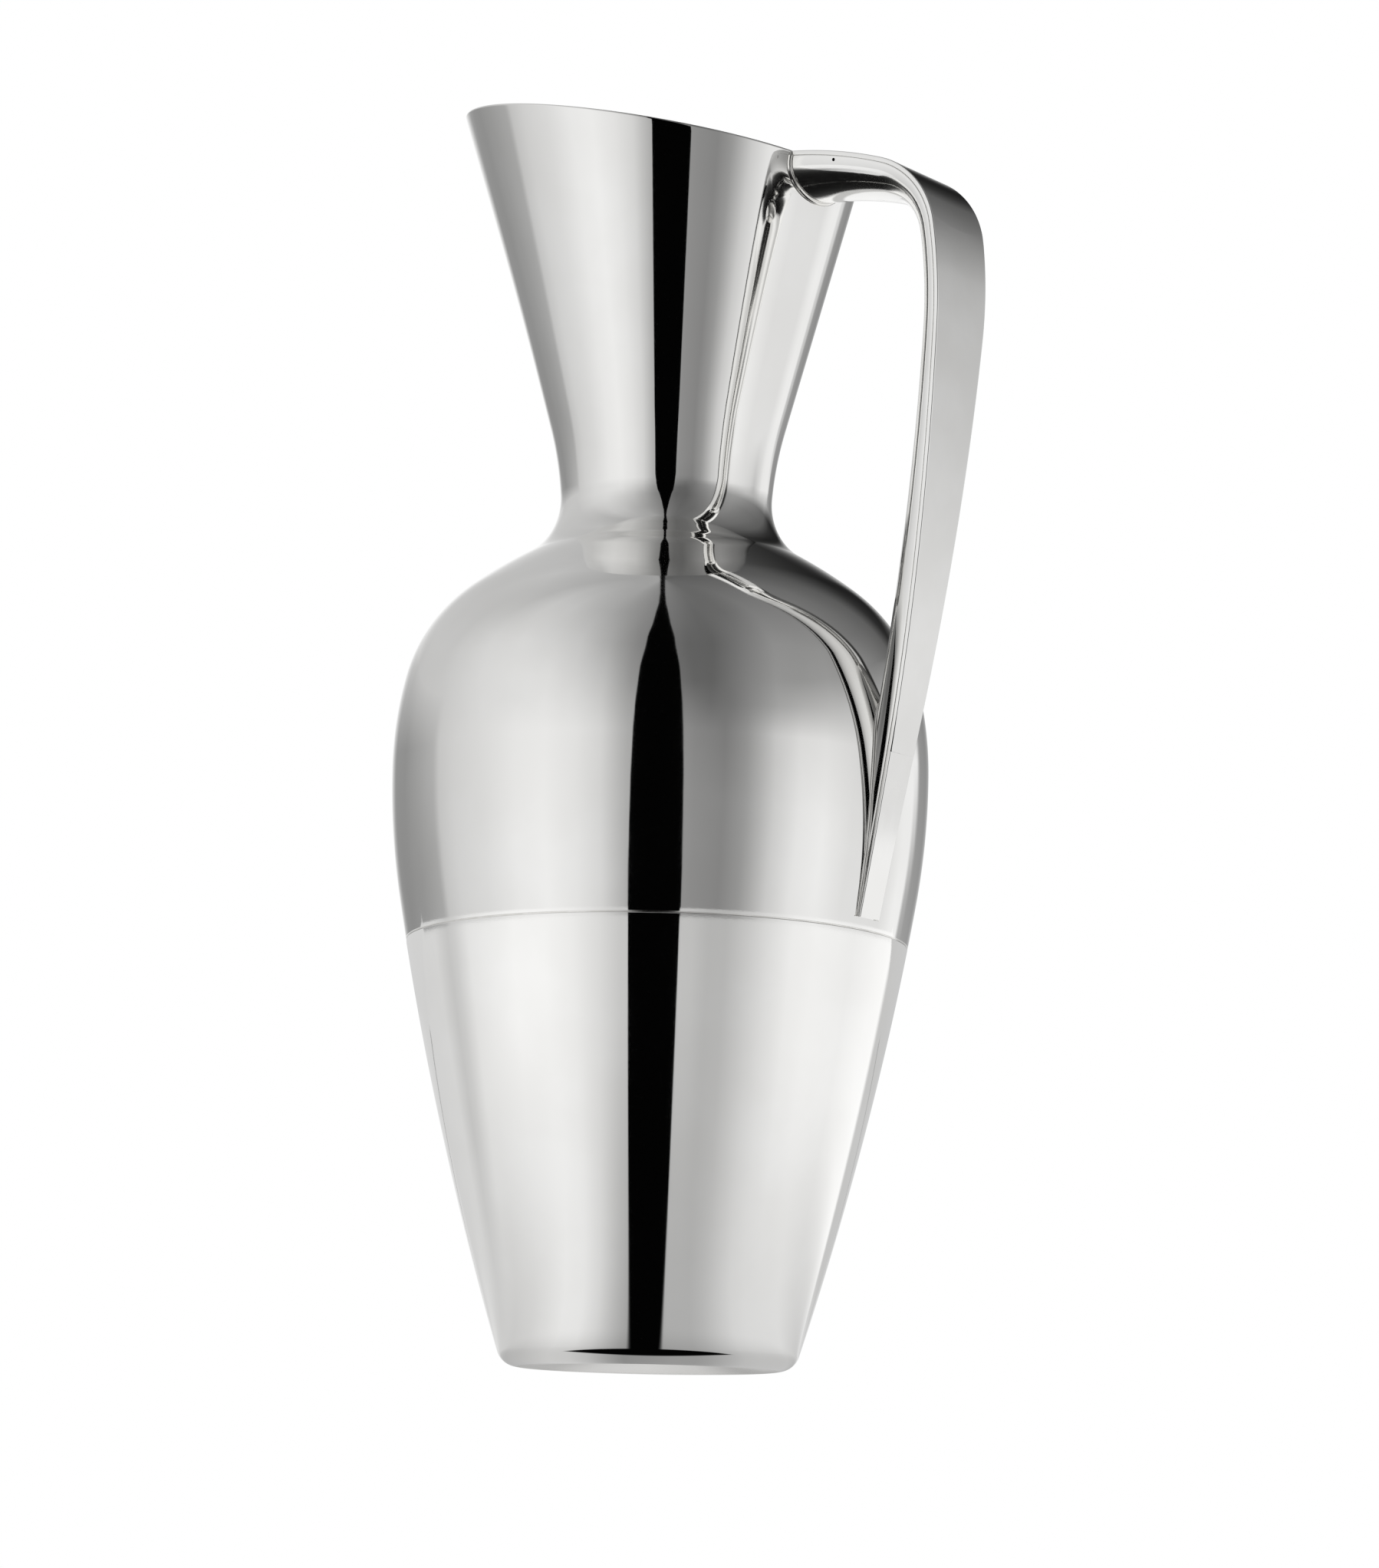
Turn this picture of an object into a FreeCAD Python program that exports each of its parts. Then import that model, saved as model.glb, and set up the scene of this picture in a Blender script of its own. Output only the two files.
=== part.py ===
import FreeCAD, Part
import Sketcher
import math
import os
from FreeCAD import Placement, Rotation, Vector

# Silver water pitcher, millimetres.
# A tapering cup and a pear-shaped upper half meet at a soldered seam.  The neck
# flares into an oval-lipped mouth whose rim rises to a small pouring spout.  A
# hollow strap handle, a flat outer plate on a D-section gutter, leaves the rim
# and lands on the belly just above the seam.
# Frame: +Z up, origin on the body's axis at the height it stands on, handle
# towards +X, spout towards -X, mirror plane Y = 0.

doc = FreeCAD.newDocument("Pitcher")

# ---------------------------------------------------------------- dimensions

DIMENSIONS = (
    # sheet metal
    ("wall_thickness", 1.1),
    # outside of the body, from the foot up: slope from vertical in degrees,
    # and the radius of the round stretch between one slope and the next
    ("foot_radius", 34.13),
    ("foot_slope", 17.79),
    ("lower_wall_curve", 811.6),
    ("belly_start_slope", 9.81),
    ("belly_curve", 180.3),
    ("upper_belly_curve", 89.5),
    ("shoulder_start_slope", 13.79),
    ("shoulder_curve", 37.9),
    ("shoulder_end_slope", 52.9),
    ("shoulder_flat_curve", 120.0),
    ("neck_start_slope", 60.4),
    ("neck_curve", 17.2),
    ("throat_start_slope", 4.26),
    ("throat_curve", 90.0),
    ("mouth_slope", 15.17),
    # standing ring and pushed-up bottom
    ("foot_corner_radius", 5.0),
    ("standing_ring_inner_radius", 27.0),
    ("bottom_rise", 2.0),
    # seam between the two halves
    ("seam_height", 99.4),
    ("seam_gap", 0.3),
    ("seam_solder_recess", 0.12),
    ("lap_band_height", 8.0),
    ("lap_band_thickness", 0.8),
    # rim and spout
    ("handle_side_rim_height", 284.15),
    ("handle_side_rim_reach", 44.5),
    ("spout_tip_height", 306.0),
    ("spout_tip_reach", 54.3),
    ("rim_dish_radius", 2000.0),
    ("spout_pull", 3.8),
    ("spout_start_height", 236.0),
    ("spout_sharpness", 11.0),
    ("rim_blank_height", 314.0),
    # handle: line of the outer plate's outer face, leaving the rim; slope is
    # measured downwards from level
    ("handle_root_slope", 7.0),
    ("handle_top_curve", 117.5),
    ("handle_bend_start_slope", 18.8),
    ("handle_bend_curve", 21.7),
    ("handle_bend_end_slope", 82.4),
    ("handle_grip_curve", 114.0),
    ("handle_grip_end_slope", 94.5),
    ("handle_drop_curve", 719.0),
    ("handle_foot_slope", 102.4),
    ("handle_foot_height", 102.0),
    ("handle_root_tail", 10.0),
    # handle section: half width and depth at the root, a third, two thirds
    # and the whole way along
    ("handle_half_width_root", 11.5),
    ("handle_half_width_upper", 10.0),
    ("handle_half_width_lower", 6.26),
    ("handle_half_width_foot", 4.0),
    ("handle_depth_root", 9.46),
    ("handle_depth_upper", 7.52),
    ("handle_depth_lower", 8.32),
    ("handle_depth_foot", 6.07),
    ("handle_plate_thickness", 1.2),
    ("handle_shell_thickness", 0.9),
    # solder fillets where the handle meets the body
    ("root_collar_size", 0.8),
    ("foot_collar_size", 0.5),
    # vent hole in the hollow handle
    ("vent_diameter", 0.8),
    ("vent_reach", 55.0),
    ("vent_depth", 2.2),
)

sheet = doc.addObject("Spreadsheet::Sheet", "Dimensions")
for row, (alias, value) in enumerate(DIMENSIONS, start=1):
    sheet.set(f"A{row}", alias)
    sheet.set(f"B{row}", str(value))
    sheet.setAlias(f"B{row}", alias)
doc.recompute()


def dim(alias):
    """Value of a driving dimension in the sheet."""
    return float(sheet.get(alias))


# ------------------------------------------------------------- body outline


def body_outline_arcs():
    """Tangent arcs of the outside of the body, from the foot to the throat.

    Each arc is (centre_r, centre_z, radius, slope_from, slope_to), slopes in
    radians from vertical, outwards positive.  A negative radius is concave.
    A point of the arc at slope a is centre + radius * (cos a, -sin a).
    """
    steps = (
        (dim("lower_wall_curve"), dim("foot_slope"), dim("belly_start_slope")),
        (dim("belly_curve"), dim("belly_start_slope"), 0.0),
        (dim("upper_belly_curve"), 0.0, -dim("shoulder_start_slope")),
        (dim("shoulder_curve"), -dim("shoulder_start_slope"), -dim("shoulder_end_slope")),
        (dim("shoulder_flat_curve"), -dim("shoulder_end_slope"), -dim("neck_start_slope")),
        (-dim("neck_curve"), -dim("neck_start_slope"), dim("throat_start_slope")),
        (-dim("throat_curve"), dim("throat_start_slope"), dim("mouth_slope")),
    )
    arcs = []
    reach, height = dim("foot_radius"), 0.0
    for radius, start, end in steps:
        start, end = math.radians(start), math.radians(end)
        centre_r = reach - radius * math.cos(start)
        centre_z = height + radius * math.sin(start)
        arcs.append((centre_r, centre_z, radius, start, end))
        reach = centre_r + radius * math.cos(end)
        height = centre_z - radius * math.sin(end)
    return arcs


OUTLINE = body_outline_arcs()


def outline_point(arc, slope, inset=0.0):
    """(r, z) on an arc of the outline, set in from the outside by inset."""
    centre_r, centre_z, radius = arc[:3]
    return (
        centre_r + (radius - inset) * math.cos(slope),
        centre_z - (radius - inset) * math.sin(slope),
    )


def slope_at(arc, height, inset=0.0):
    """Slope of the wall where an arc of the outline crosses a height."""
    return math.asin((arc[1] - height) / (arc[2] - inset))


def radius_at(height, inset=0.0):
    """Radius of the body at a height, set in from the outside by inset."""
    for arc in OUTLINE:
        top = outline_point(arc, arc[4], inset)[1]
        if height <= top:
            return outline_point(arc, slope_at(arc, height, inset), inset)[0]
    reach, start = outline_point(OUTLINE[-1], OUTLINE[-1][4], inset)
    return reach + (height - start) * math.tan(math.radians(dim("mouth_slope")))


def spout_pull_at(height):
    """How far the spout is drawn out past the round mouth at a height."""
    start, tip = dim("spout_start_height"), dim("spout_tip_height")
    part_way = max(0.0, (height - start) / (tip - start))
    return dim("spout_pull") * part_way**2 * (2.0 - part_way)


def rim_height_at(reach):
    """Height of the rim at a distance along X: a shallow sweep, highest at the spout."""
    radius = dim("rim_dish_radius")
    handle_side = Vector(dim("handle_side_rim_reach"), 0.0, dim("handle_side_rim_height"))
    spout_side = Vector(-dim("spout_tip_reach"), 0.0, dim("spout_tip_height"))
    chord = handle_side - spout_side
    upwards = Vector(-chord.z, 0.0, chord.x).normalize()
    middle = (handle_side + spout_side) / 2.0
    centre = middle + upwards * math.sqrt(radius**2 - (chord.Length / 2.0) ** 2)
    return centre.z - math.sqrt(radius**2 - (reach - centre.x) ** 2)


def mouth_reach(angle, height, inset):
    """Distance of the mouth's wall from the axis, drawn out at the spout side."""
    lobe = ((1.0 - math.cos(angle)) / 2.0) ** dim("spout_sharpness")
    return radius_at(height, inset) + spout_pull_at(height) * lobe


def rim_point(angle, inset):
    """Point where the wall meets the rim, at an angle from the handle."""
    height = dim("handle_side_rim_height")
    rounds = 12
    for _ in range(rounds):
        reach = mouth_reach(angle, height, inset)
        height = rim_height_at(reach * math.cos(angle))
    return Vector(reach * math.cos(angle), reach * math.sin(angle), height)


def level_ring_heights(bottom, top, inset):
    """Heights of the level rings of a skin, closely spaced along the outline."""
    longest_run = 4.5
    heights = []
    for arc in OUTLINE:
        turn = arc[4] - arc[3]
        count = math.ceil(abs(turn * arc[2]) / longest_run)
        for step in range(1, count + 1):
            slope = arc[3] + turn * step / count
            heights.append(outline_point(arc, slope, inset)[1])
    least_gap = 1.0
    return [bottom] + [z for z in heights if bottom + least_gap < z < top - least_gap] + [top]


def skin_rings(bottom, inset, points):
    """Rings of points up one skin of the wall; the last one lies in the rim."""
    angles = [2.0 * math.pi * number / points for number in range(points)]
    level_top = dim("spout_start_height")
    rings = []
    for height in level_ring_heights(bottom, level_top, inset):
        radius = radius_at(height, inset)
        rings.append([Vector(radius * math.cos(a), radius * math.sin(a), height) for a in angles])
    rim = [rim_point(angle, inset) for angle in angles]
    mouth_rings = 9
    for step in range(1, mouth_rings + 1):
        ring = []
        for angle, lip in zip(angles, rim):
            height = level_top + (lip.z - level_top) * step / mouth_rings
            reach = mouth_reach(angle, height, inset)
            ring.append(Vector(reach * math.cos(angle), reach * math.sin(angle), height))
        rings.append(ring)
    return rings


def skin_through(curves, distances, closed=False):
    """Smooth face through a row of curves that share their knots."""
    upwards = []
    for pole_column in zip(*[curve.getPoles() for curve in curves]):
        along = Part.BSplineCurve()
        along.interpolate(Points=list(pole_column), Parameters=distances)
        upwards.append(along)
    surface = Part.BSplineSurface()
    surface.buildFromPolesMultsKnots(
        [along.getPoles() for along in upwards],
        curves[0].getMultiplicities(),
        upwards[0].getMultiplicities(),
        curves[0].getKnots(),
        upwards[0].getKnots(),
        closed,
        False,
        curves[0].Degree,
        upwards[0].Degree,
    )
    return surface.toShape()


def sewn_solid(name, faces):
    """Document object holding the solid that a closed set of faces bounds."""
    tolerance = 0.001
    shell = Part.Shell(faces)
    shell.sewShape(tolerance)
    solid = Part.Solid(shell)
    solid.fix(tolerance, tolerance, tolerance)
    feature = doc.addObject("Part::Feature", name)
    feature.Shape = solid
    feature.Placement = Placement()
    return feature


def wall_skin(bottom, inset, points=48):
    """One smooth skin of the upper body's wall, closed all round."""
    rings = skin_rings(bottom, inset, points)
    even_steps = [number / points for number in range(points + 1)]
    climb = [0.0]
    for lower, higher in zip(rings, rings[1:]):
        quarter = points // 4
        climb.append(climb[-1] + lower[quarter].distanceToPoint(higher[quarter]))
    around = []
    for ring in rings:
        curve = Part.BSplineCurve()
        curve.interpolate(Points=ring, PeriodicFlag=True, Parameters=even_steps)
        around.append(curve)
    return skin_through(around, climb, closed=True)


# ---------------------------------------------------------- sketching helpers


def plane(body, role):
    """Origin plane of a body, found by its role."""
    for feature in body.Origin.OriginFeatures:
        if feature.Role == role:
            return feature
    raise ValueError(role)


def new_sketch(body, name):
    """Sketch of a half section, standing on the body's XZ plane."""
    sketch = body.newObject("Sketcher::SketchObject", name)
    sketch.AttachmentSupport = (plane(body, "XZ_Plane"), "")
    sketch.MapMode = "FlatFace"
    return sketch


def line(start, end):
    return Part.LineSegment(Vector(*start, 0.0), Vector(*end, 0.0))


def outline_arc(arc, slope_from, slope_to, inset):
    """Stretch of the body outline as an arc in the sketch plane."""
    middle = (slope_from + slope_to) / 2.0
    ends = [outline_point(arc, slope, inset) for slope in (slope_from, middle, slope_to)]
    return Part.Arc(*[Vector(r, z, 0.0) for r, z in ends])


def nearest_ends(sketch, this, following):
    """End of one piece and end of the next that lie closest together."""

    def gap(pair):
        return sketch.getPoint(this, pair[0]).distanceToPoint(sketch.getPoint(following, pair[1]))

    return min([(a, b) for a in (1, 2) for b in (1, 2)], key=gap)


def add_outline(sketch, pieces):
    """Draw a closed outline and join each piece's end to the next one's start."""
    numbers = [sketch.addGeometry(piece, False) for piece in pieces]
    for this, following in zip(numbers, numbers[1:] + numbers[:1]):
        end, start = nearest_ends(sketch, this, following)
        sketch.addConstraint(Sketcher.Constraint("Coincident", this, end, following, start))
    return numbers


def bind(sketch, kind, arguments, name, expression):
    """Add a named dimension to a sketch and drive it from the sheet."""
    number = sketch.addConstraint(Sketcher.Constraint(kind, *arguments))
    sketch.renameConstraint(number, name)
    sketch.setExpression(f"Constraints.{name}", expression)


def spin(body, sketch, name):
    """Revolve a sketch of the body's half section all the way round its axis."""
    turned = body.newObject("PartDesign::Revolution", name)
    turned.Profile = sketch
    turned.ReferenceAxis = (sketch, ["V_Axis"])
    turned.Angle = 360.0
    return turned


# ---------------------------------------------------------------- lower body


def circles_near(shape, radius, height, tolerance=0.6):
    """Names of the circular edges about the Z axis near a radius and height."""
    names = []
    for number, edge in enumerate(shape.Edges, start=1):
        if edge.Degenerated or not isinstance(edge.Curve, Part.Circle):
            continue
        off = abs(edge.Curve.Radius - radius) + abs(edge.Curve.Center.z - height)
        if off < tolerance:
            names.append(f"Edge{number}")
    return names


def make_lower_body():
    """Tapering spun cup with a flat standing ring and a pushed-up bottom."""
    wall = dim("wall_thickness")
    edge_height = dim("seam_height") - dim("seam_gap") / 2.0
    ring = dim("standing_ring_inner_radius")
    rise = dim("bottom_rise")
    dome = (ring**2 + rise**2) / (2.0 * rise)
    dome_centre = rise - dome
    floor_ring = math.sqrt((dome + wall) ** 2 - (wall - dome_centre) ** 2)

    def dome_arc(radius, outer_reach, outer_height):
        half_turn = math.asin(outer_reach / radius) / 2.0
        middle = Vector(radius * math.sin(half_turn), dome_centre + radius * math.cos(half_turn), 0.0)
        centre_top = Vector(0.0, dome_centre + radius, 0.0)
        return Part.Arc(centre_top, middle, Vector(outer_reach, outer_height, 0.0))

    arc = OUTLINE[0]
    foot = outline_point(arc, arc[3])
    outer_top = slope_at(arc, edge_height)
    inner_top = slope_at(arc, edge_height, wall)
    inner_foot = slope_at(arc, wall, wall)
    inner_corner = outline_point(arc, inner_foot, wall)

    body = doc.addObject("PartDesign::Body", "LowerBody")
    sketch = new_sketch(body, "LowerBodySection")
    underside, standing_line, outer_wall, top_line, inner_wall, floor_line, floor, axis_line = add_outline(
        sketch,
        (
            dome_arc(dome, ring, 0.0),
            line((ring, 0.0), foot),
            outline_arc(arc, arc[3], outer_top, 0.0),
            line(outline_point(arc, outer_top), outline_point(arc, inner_top, wall)),
            outline_arc(arc, inner_top, inner_foot, wall),
            line(inner_corner, (floor_ring, wall)),
            dome_arc(dome + wall, floor_ring, wall),
            line((0.0, rise + wall), (0.0, rise)),
        ),
    )
    sketch.addConstraint(Sketcher.Constraint("Horizontal", standing_line))
    sketch.addConstraint(Sketcher.Constraint("Horizontal", floor_line))
    sketch.addConstraint(Sketcher.Constraint("Horizontal", top_line))
    sketch.addConstraint(Sketcher.Constraint("PointOnObject", standing_line, 1, -1))
    bind(sketch, "DistanceX", (-1, 1, standing_line, 1, ring), "StandingRing",
         "Dimensions.standing_ring_inner_radius")
    bind(sketch, "DistanceX", (-1, 1, standing_line, 2, foot[0]), "Foot", "Dimensions.foot_radius")
    bind(sketch, "DistanceY", (-1, 1, floor_line, 1, wall), "FloorThickness",
         "Dimensions.wall_thickness")
    bind(sketch, "DistanceY", (-1, 1, top_line, 1, edge_height), "TopEdge",
         "Dimensions.seam_height - Dimensions.seam_gap / 2")
    bind(sketch, "Radius", (outer_wall, arc[2]), "WallCurve", "Dimensions.lower_wall_curve")
    spin(body, sketch, "Cup")
    doc.recompute()

    outside = body.newObject("PartDesign::Fillet", "FootCorner")
    outside.Base = (body.getObject("Cup"), circles_near(body.Shape, foot[0], 0.0))
    outside.setExpression("Radius", "Dimensions.foot_corner_radius")
    doc.recompute()
    inside = body.newObject("PartDesign::Fillet", "FloorCorner")
    inside.Base = (outside, circles_near(body.Shape, inner_corner[0], wall))
    inside.setExpression("Radius", "Dimensions.foot_corner_radius - Dimensions.wall_thickness")
    doc.recompute()
    return body


# ------------------------------------------------------------- seam and band


def make_lap_band():
    """Sheet ring behind the seam, lapping the inside of both halves."""
    wall = dim("wall_thickness")
    inner = wall + dim("lap_band_thickness")
    half = dim("lap_band_height") / 2.0
    low, high = dim("seam_height") - half, dim("seam_height") + half
    arc = OUTLINE[0]
    face = [slope_at(arc, height, wall) for height in (low, high)]
    back = [slope_at(arc, height, inner) for height in (high, low)]

    body = doc.addObject("PartDesign::Body", "SeamLapBand")
    sketch = new_sketch(body, "LapBandSection")
    _, top_line, _, bottom_line = add_outline(
        sketch,
        (
            outline_arc(arc, face[0], face[1], wall),
            line(outline_point(arc, face[1], wall), outline_point(arc, back[0], inner)),
            outline_arc(arc, back[0], back[1], inner),
            line(outline_point(arc, back[1], inner), outline_point(arc, face[0], wall)),
        ),
    )
    sketch.addConstraint(Sketcher.Constraint("Horizontal", top_line))
    sketch.addConstraint(Sketcher.Constraint("Horizontal", bottom_line))
    bind(sketch, "DistanceY", (-1, 1, bottom_line, 1, low), "LowEdge",
         "Dimensions.seam_height - Dimensions.lap_band_height / 2")
    bind(sketch, "DistanceY", (-1, 1, top_line, 1, high), "HighEdge",
         "Dimensions.seam_height + Dimensions.lap_band_height / 2")
    spin(body, sketch, "Band")
    return body


def make_seam_solder():
    """Hairline ring of solder between the two edges, a little below the surface."""
    wall = dim("wall_thickness")
    half = dim("seam_gap") / 2.0
    low, high = dim("seam_height") - half, dim("seam_height") + half
    recess = dim("seam_solder_recess")
    corners = (
        (radius_at(low, wall), low),
        (radius_at(low, recess), low),
        (radius_at(high, recess), high),
        (radius_at(high, wall), high),
    )
    body = doc.addObject("PartDesign::Body", "SeamSolder")
    sketch = new_sketch(body, "SeamSolderSection")
    bottom_line, _, top_line, _ = add_outline(
        sketch, [line(a, b) for a, b in zip(corners, corners[1:] + corners[:1])]
    )
    sketch.addConstraint(Sketcher.Constraint("Horizontal", bottom_line))
    sketch.addConstraint(Sketcher.Constraint("Horizontal", top_line))
    bind(sketch, "DistanceY", (-1, 1, bottom_line, 1, low), "LowEdge",
         "Dimensions.seam_height - Dimensions.seam_gap / 2")
    bind(sketch, "DistanceY", (-1, 1, top_line, 1, high), "HighEdge",
         "Dimensions.seam_height + Dimensions.seam_gap / 2")
    spin(body, sketch, "Ring")
    return body


# ---------------------------------------------------------------- upper body


def ring_edge(face, height_range):
    """The closed edge of a skin whose heights lie within a range."""
    low, high = height_range
    for edge in face.Edges:
        box = edge.BoundBox
        if edge.isClosed() and low <= box.ZMin and box.ZMax <= high:
            return edge
    raise ValueError("no closed edge in that range")


def make_upper_body():
    """Belly, shoulder, neck and spouted mouth, raised from one sheet.

    The drawn-out spout makes it no turned shape, so its two skins are built as
    smooth surfaces and closed by the seam edge below and the rim above.
    """
    bottom = dim("seam_height") + dim("seam_gap") / 2.0
    margin = 1.0
    seam_range = (bottom - margin, bottom + margin)
    rim_range = (dim("handle_side_rim_height") - margin, dim("spout_tip_height") + margin)
    outer = wall_skin(bottom, 0.0)
    inner = wall_skin(bottom, dim("wall_thickness"))
    closing = [
        Part.makeRuledSurface(ring_edge(outer, heights), ring_edge(inner, heights))
        for heights in (seam_range, rim_range)
    ]
    return sewn_solid("UpperBody", [outer, inner] + closing)


def cut(name, base, tool):
    result = doc.addObject("Part::Cut", name)
    result.Base = base
    result.Tool = tool
    return result


def common(name, base, tool):
    result = doc.addObject("Part::Common", name)
    result.Base = base
    result.Tool = tool
    return result


def make_envelope(name, inset):
    """Filled round body, without the spout, that trims whatever meets its outside."""
    top = dim("rim_blank_height")
    arcs = [outline_arc(arc, arc[3], arc[4], inset) for arc in OUTLINE]
    foot = outline_point(OUTLINE[0], OUTLINE[0][3], inset)
    throat = outline_point(OUTLINE[-1], OUTLINE[-1][4], inset)
    mouth = (radius_at(top, inset), top)
    body = doc.addObject("PartDesign::Body", name)
    sketch = new_sketch(body, f"{name}Section")
    add_outline(
        sketch,
        arcs
        + [
            line(throat, mouth),
            line(mouth, (0.0, top)),
            line((0.0, top), (0.0, foot[1])),
            line((0.0, foot[1]), foot),
        ],
    )
    spin(body, sketch, f"{name}Turned")
    return body


# -------------------------------------------------------------------- handle


def handle_path():
    """Stretches of the outer face's centre line, from the rim to the foot.

    A stretch is (start, slope_from, slope_to, radius); a straight one has a
    length in place of the radius, and equal slopes.
    """
    steps = (
        ("handle_top_curve", "handle_root_slope", "handle_bend_start_slope"),
        ("handle_bend_curve", "handle_bend_start_slope", "handle_bend_end_slope"),
        ("handle_grip_curve", "handle_bend_end_slope", "handle_grip_end_slope"),
        ("handle_drop_curve", "handle_grip_end_slope", "handle_foot_slope"),
    )
    root = math.radians(dim("handle_root_slope"))
    tail = dim("handle_root_tail")
    start = Vector(
        dim("handle_side_rim_reach") - tail * math.cos(root),
        0.0,
        dim("handle_side_rim_height") + tail * math.sin(root),
    )
    stretches = [(start, root, root, tail)]
    position = start + Vector(math.cos(root), 0.0, -math.sin(root)) * tail
    for curve, first, last in steps:
        radius = dim(curve)
        slope_from, slope_to = math.radians(dim(first)), math.radians(dim(last))
        stretches.append((position, slope_from, slope_to, radius))
        position = position + Vector(
            radius * (math.sin(slope_to) - math.sin(slope_from)),
            0.0,
            radius * (math.cos(slope_to) - math.cos(slope_from)),
        )
    foot = math.radians(dim("handle_foot_slope"))
    drop = (position.z - dim("handle_foot_height")) / math.sin(foot)
    stretches.append((position, foot, foot, drop))
    return stretches


HANDLE_PATH = handle_path()


def stretch_length(stretch):
    _, slope_from, slope_to, size = stretch
    if slope_from == slope_to:
        return size
    return size * (slope_to - slope_from)


HANDLE_LENGTH = sum(stretch_length(stretch) for stretch in HANDLE_PATH[1:])


def handle_point(distance):
    """Centre of the outer face and its slope, at a distance from the rim."""
    travelled = -dim("handle_root_tail")
    for stretch in HANDLE_PATH:
        start, slope_from, slope_to, size = stretch
        length = stretch_length(stretch)
        last = stretch is HANDLE_PATH[-1]
        if distance <= travelled + length or last:
            along = distance - travelled
            break
        travelled += length
    if slope_from == slope_to:
        return start + Vector(math.cos(slope_from), 0.0, -math.sin(slope_from)) * along, slope_from
    slope = slope_from + along / size
    turn = Vector(math.sin(slope) - math.sin(slope_from), 0.0, math.cos(slope) - math.cos(slope_from))
    return start + turn * size, slope


def station_weights(distance):
    """Shares of the root, upper, lower and foot sizes at a distance (cubic)."""
    part_way = min(1.0, max(0.0, distance / HANDLE_LENGTH))
    stations = (0.0, 1.0 / 3.0, 2.0 / 3.0, 1.0)
    weights = []
    for here in stations:
        share = 1.0
        for other in stations:
            if other != here:
                share *= (part_way - other) / (here - other)
        weights.append(share)
    return weights


STATION_NAMES = ("root", "upper", "lower", "foot")


def handle_size(kind, distance):
    """Half width or depth of the handle at a distance from the rim."""
    return sum(
        share * dim(f"handle_{kind}_{name}") for share, name in zip(station_weights(distance), STATION_NAMES)
    )


def handle_distances():
    """Distances at which the handle is sectioned: closer where it bends."""
    distances = [-dim("handle_root_tail")]
    travelled = distances[0]
    most_turn, longest_run = math.radians(7.0), 8.0
    for stretch in HANDLE_PATH:
        length = stretch_length(stretch)
        turn = stretch[2] - stretch[1]
        count = math.ceil(max(turn / most_turn, length / longest_run))
        distances += [travelled + length * step / count for step in range(1, count + 1)]
        travelled += length
    return distances


HANDLE_DISTANCES = handle_distances()


def straight(start, end):
    """Poles of a straight piece of a section."""
    return [start, end]


def half_oval(half_width, depth, top):
    """Poles of the two quarters of an oval's lower half, from -X to +X."""
    full = 0.5523
    left = [
        (-half_width, top),
        (-half_width, top - full * depth),
        (-full * half_width, top - depth),
        (0.0, top - depth),
    ]
    right = [(-across, outwards) for across, outwards in reversed(left)]
    return [left, right]


def reversed_pieces(pieces):
    return [list(reversed(piece)) for piece in reversed(pieces)]


def handle_solid(name, section):
    """Solid swept along the handle through section(distance).

    A section is a closed run of pieces; each piece lists its poles as
    (across, outwards) from the centre of the outer face.
    """
    stations = []
    for distance in HANDLE_DISTANCES:
        position, slope = handle_point(distance)
        outwards = Vector(math.sin(slope), 0.0, math.cos(slope))
        across = Vector(0.0, 1.0, 0.0)
        curves = []
        for piece in section(distance):
            curve = Part.BSplineCurve()
            poles = [position + across * a + outwards * o for a, o in piece]
            curve.buildFromPoles(poles, False, len(poles) - 1)
            curves.append(curve)
        stations.append(curves)
    faces = [skin_through(list(row), HANDLE_DISTANCES) for row in zip(*stations)]
    for curves in (stations[0], stations[-1]):
        faces.append(Part.Face(Part.Wire([curve.toShape() for curve in curves])))
    return sewn_solid(name, faces)


def plate_section(distance):
    """Flat strip, the full width of the handle."""
    half, thick = handle_size("half_width", distance), dim("handle_plate_thickness")
    corners = [(-half, 0.0), (half, 0.0), (half, -thick), (-half, -thick)]
    return [straight(a, b) for a, b in zip(corners, corners[1:] + corners[:1])]


def shell_section(distance):
    """Thin gutter of half-oval section under the strip."""
    top = -dim("handle_plate_thickness")
    metal = dim("handle_shell_thickness")
    half = handle_size("half_width", distance)
    deep = handle_size("depth", distance) + top
    outer = half_oval(half, deep, top)
    inner = half_oval(half - metal, deep - metal, top)
    right_lip = straight((half, top), (half - metal, top))
    left_lip = straight((metal - half, top), (-half, top))
    return outer + [right_lip] + reversed_pieces(inner) + [left_lip]


def filled_section(distance, growth):
    """Whole section of strip and gutter, grown at the sides and back."""
    top = -dim("handle_plate_thickness")
    half = handle_size("half_width", distance) + growth
    deep = handle_size("depth", distance) + top + growth
    sides = [straight((half, top), (half, 0.0)), straight((half, 0.0), (-half, 0.0))]
    sides.append(straight((-half, 0.0), (-half, top)))
    return half_oval(half, deep, top) + sides


def make_collar(name, size_alias, core, envelope, low, high):
    """Solder fillet round the handle where it meets the body, between two heights."""
    size = dim(size_alias)
    grown = handle_solid(f"{name}Grown", lambda distance: filled_section(distance, size))
    skin = make_envelope(f"{name}Skin", -size)
    region = doc.addObject("Part::Box", f"{name}Region")
    side = dim("rim_blank_height")
    region.Length = region.Width = side
    region.Height = high - low
    region.Placement = Placement(Vector(0.0, -side / 2.0, low), Rotation())
    rough = common(f"{name}Rough", common(f"{name}Band", grown, skin), region)
    return cut(name, cut(f"{name}Outer", rough, envelope), core)


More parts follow.
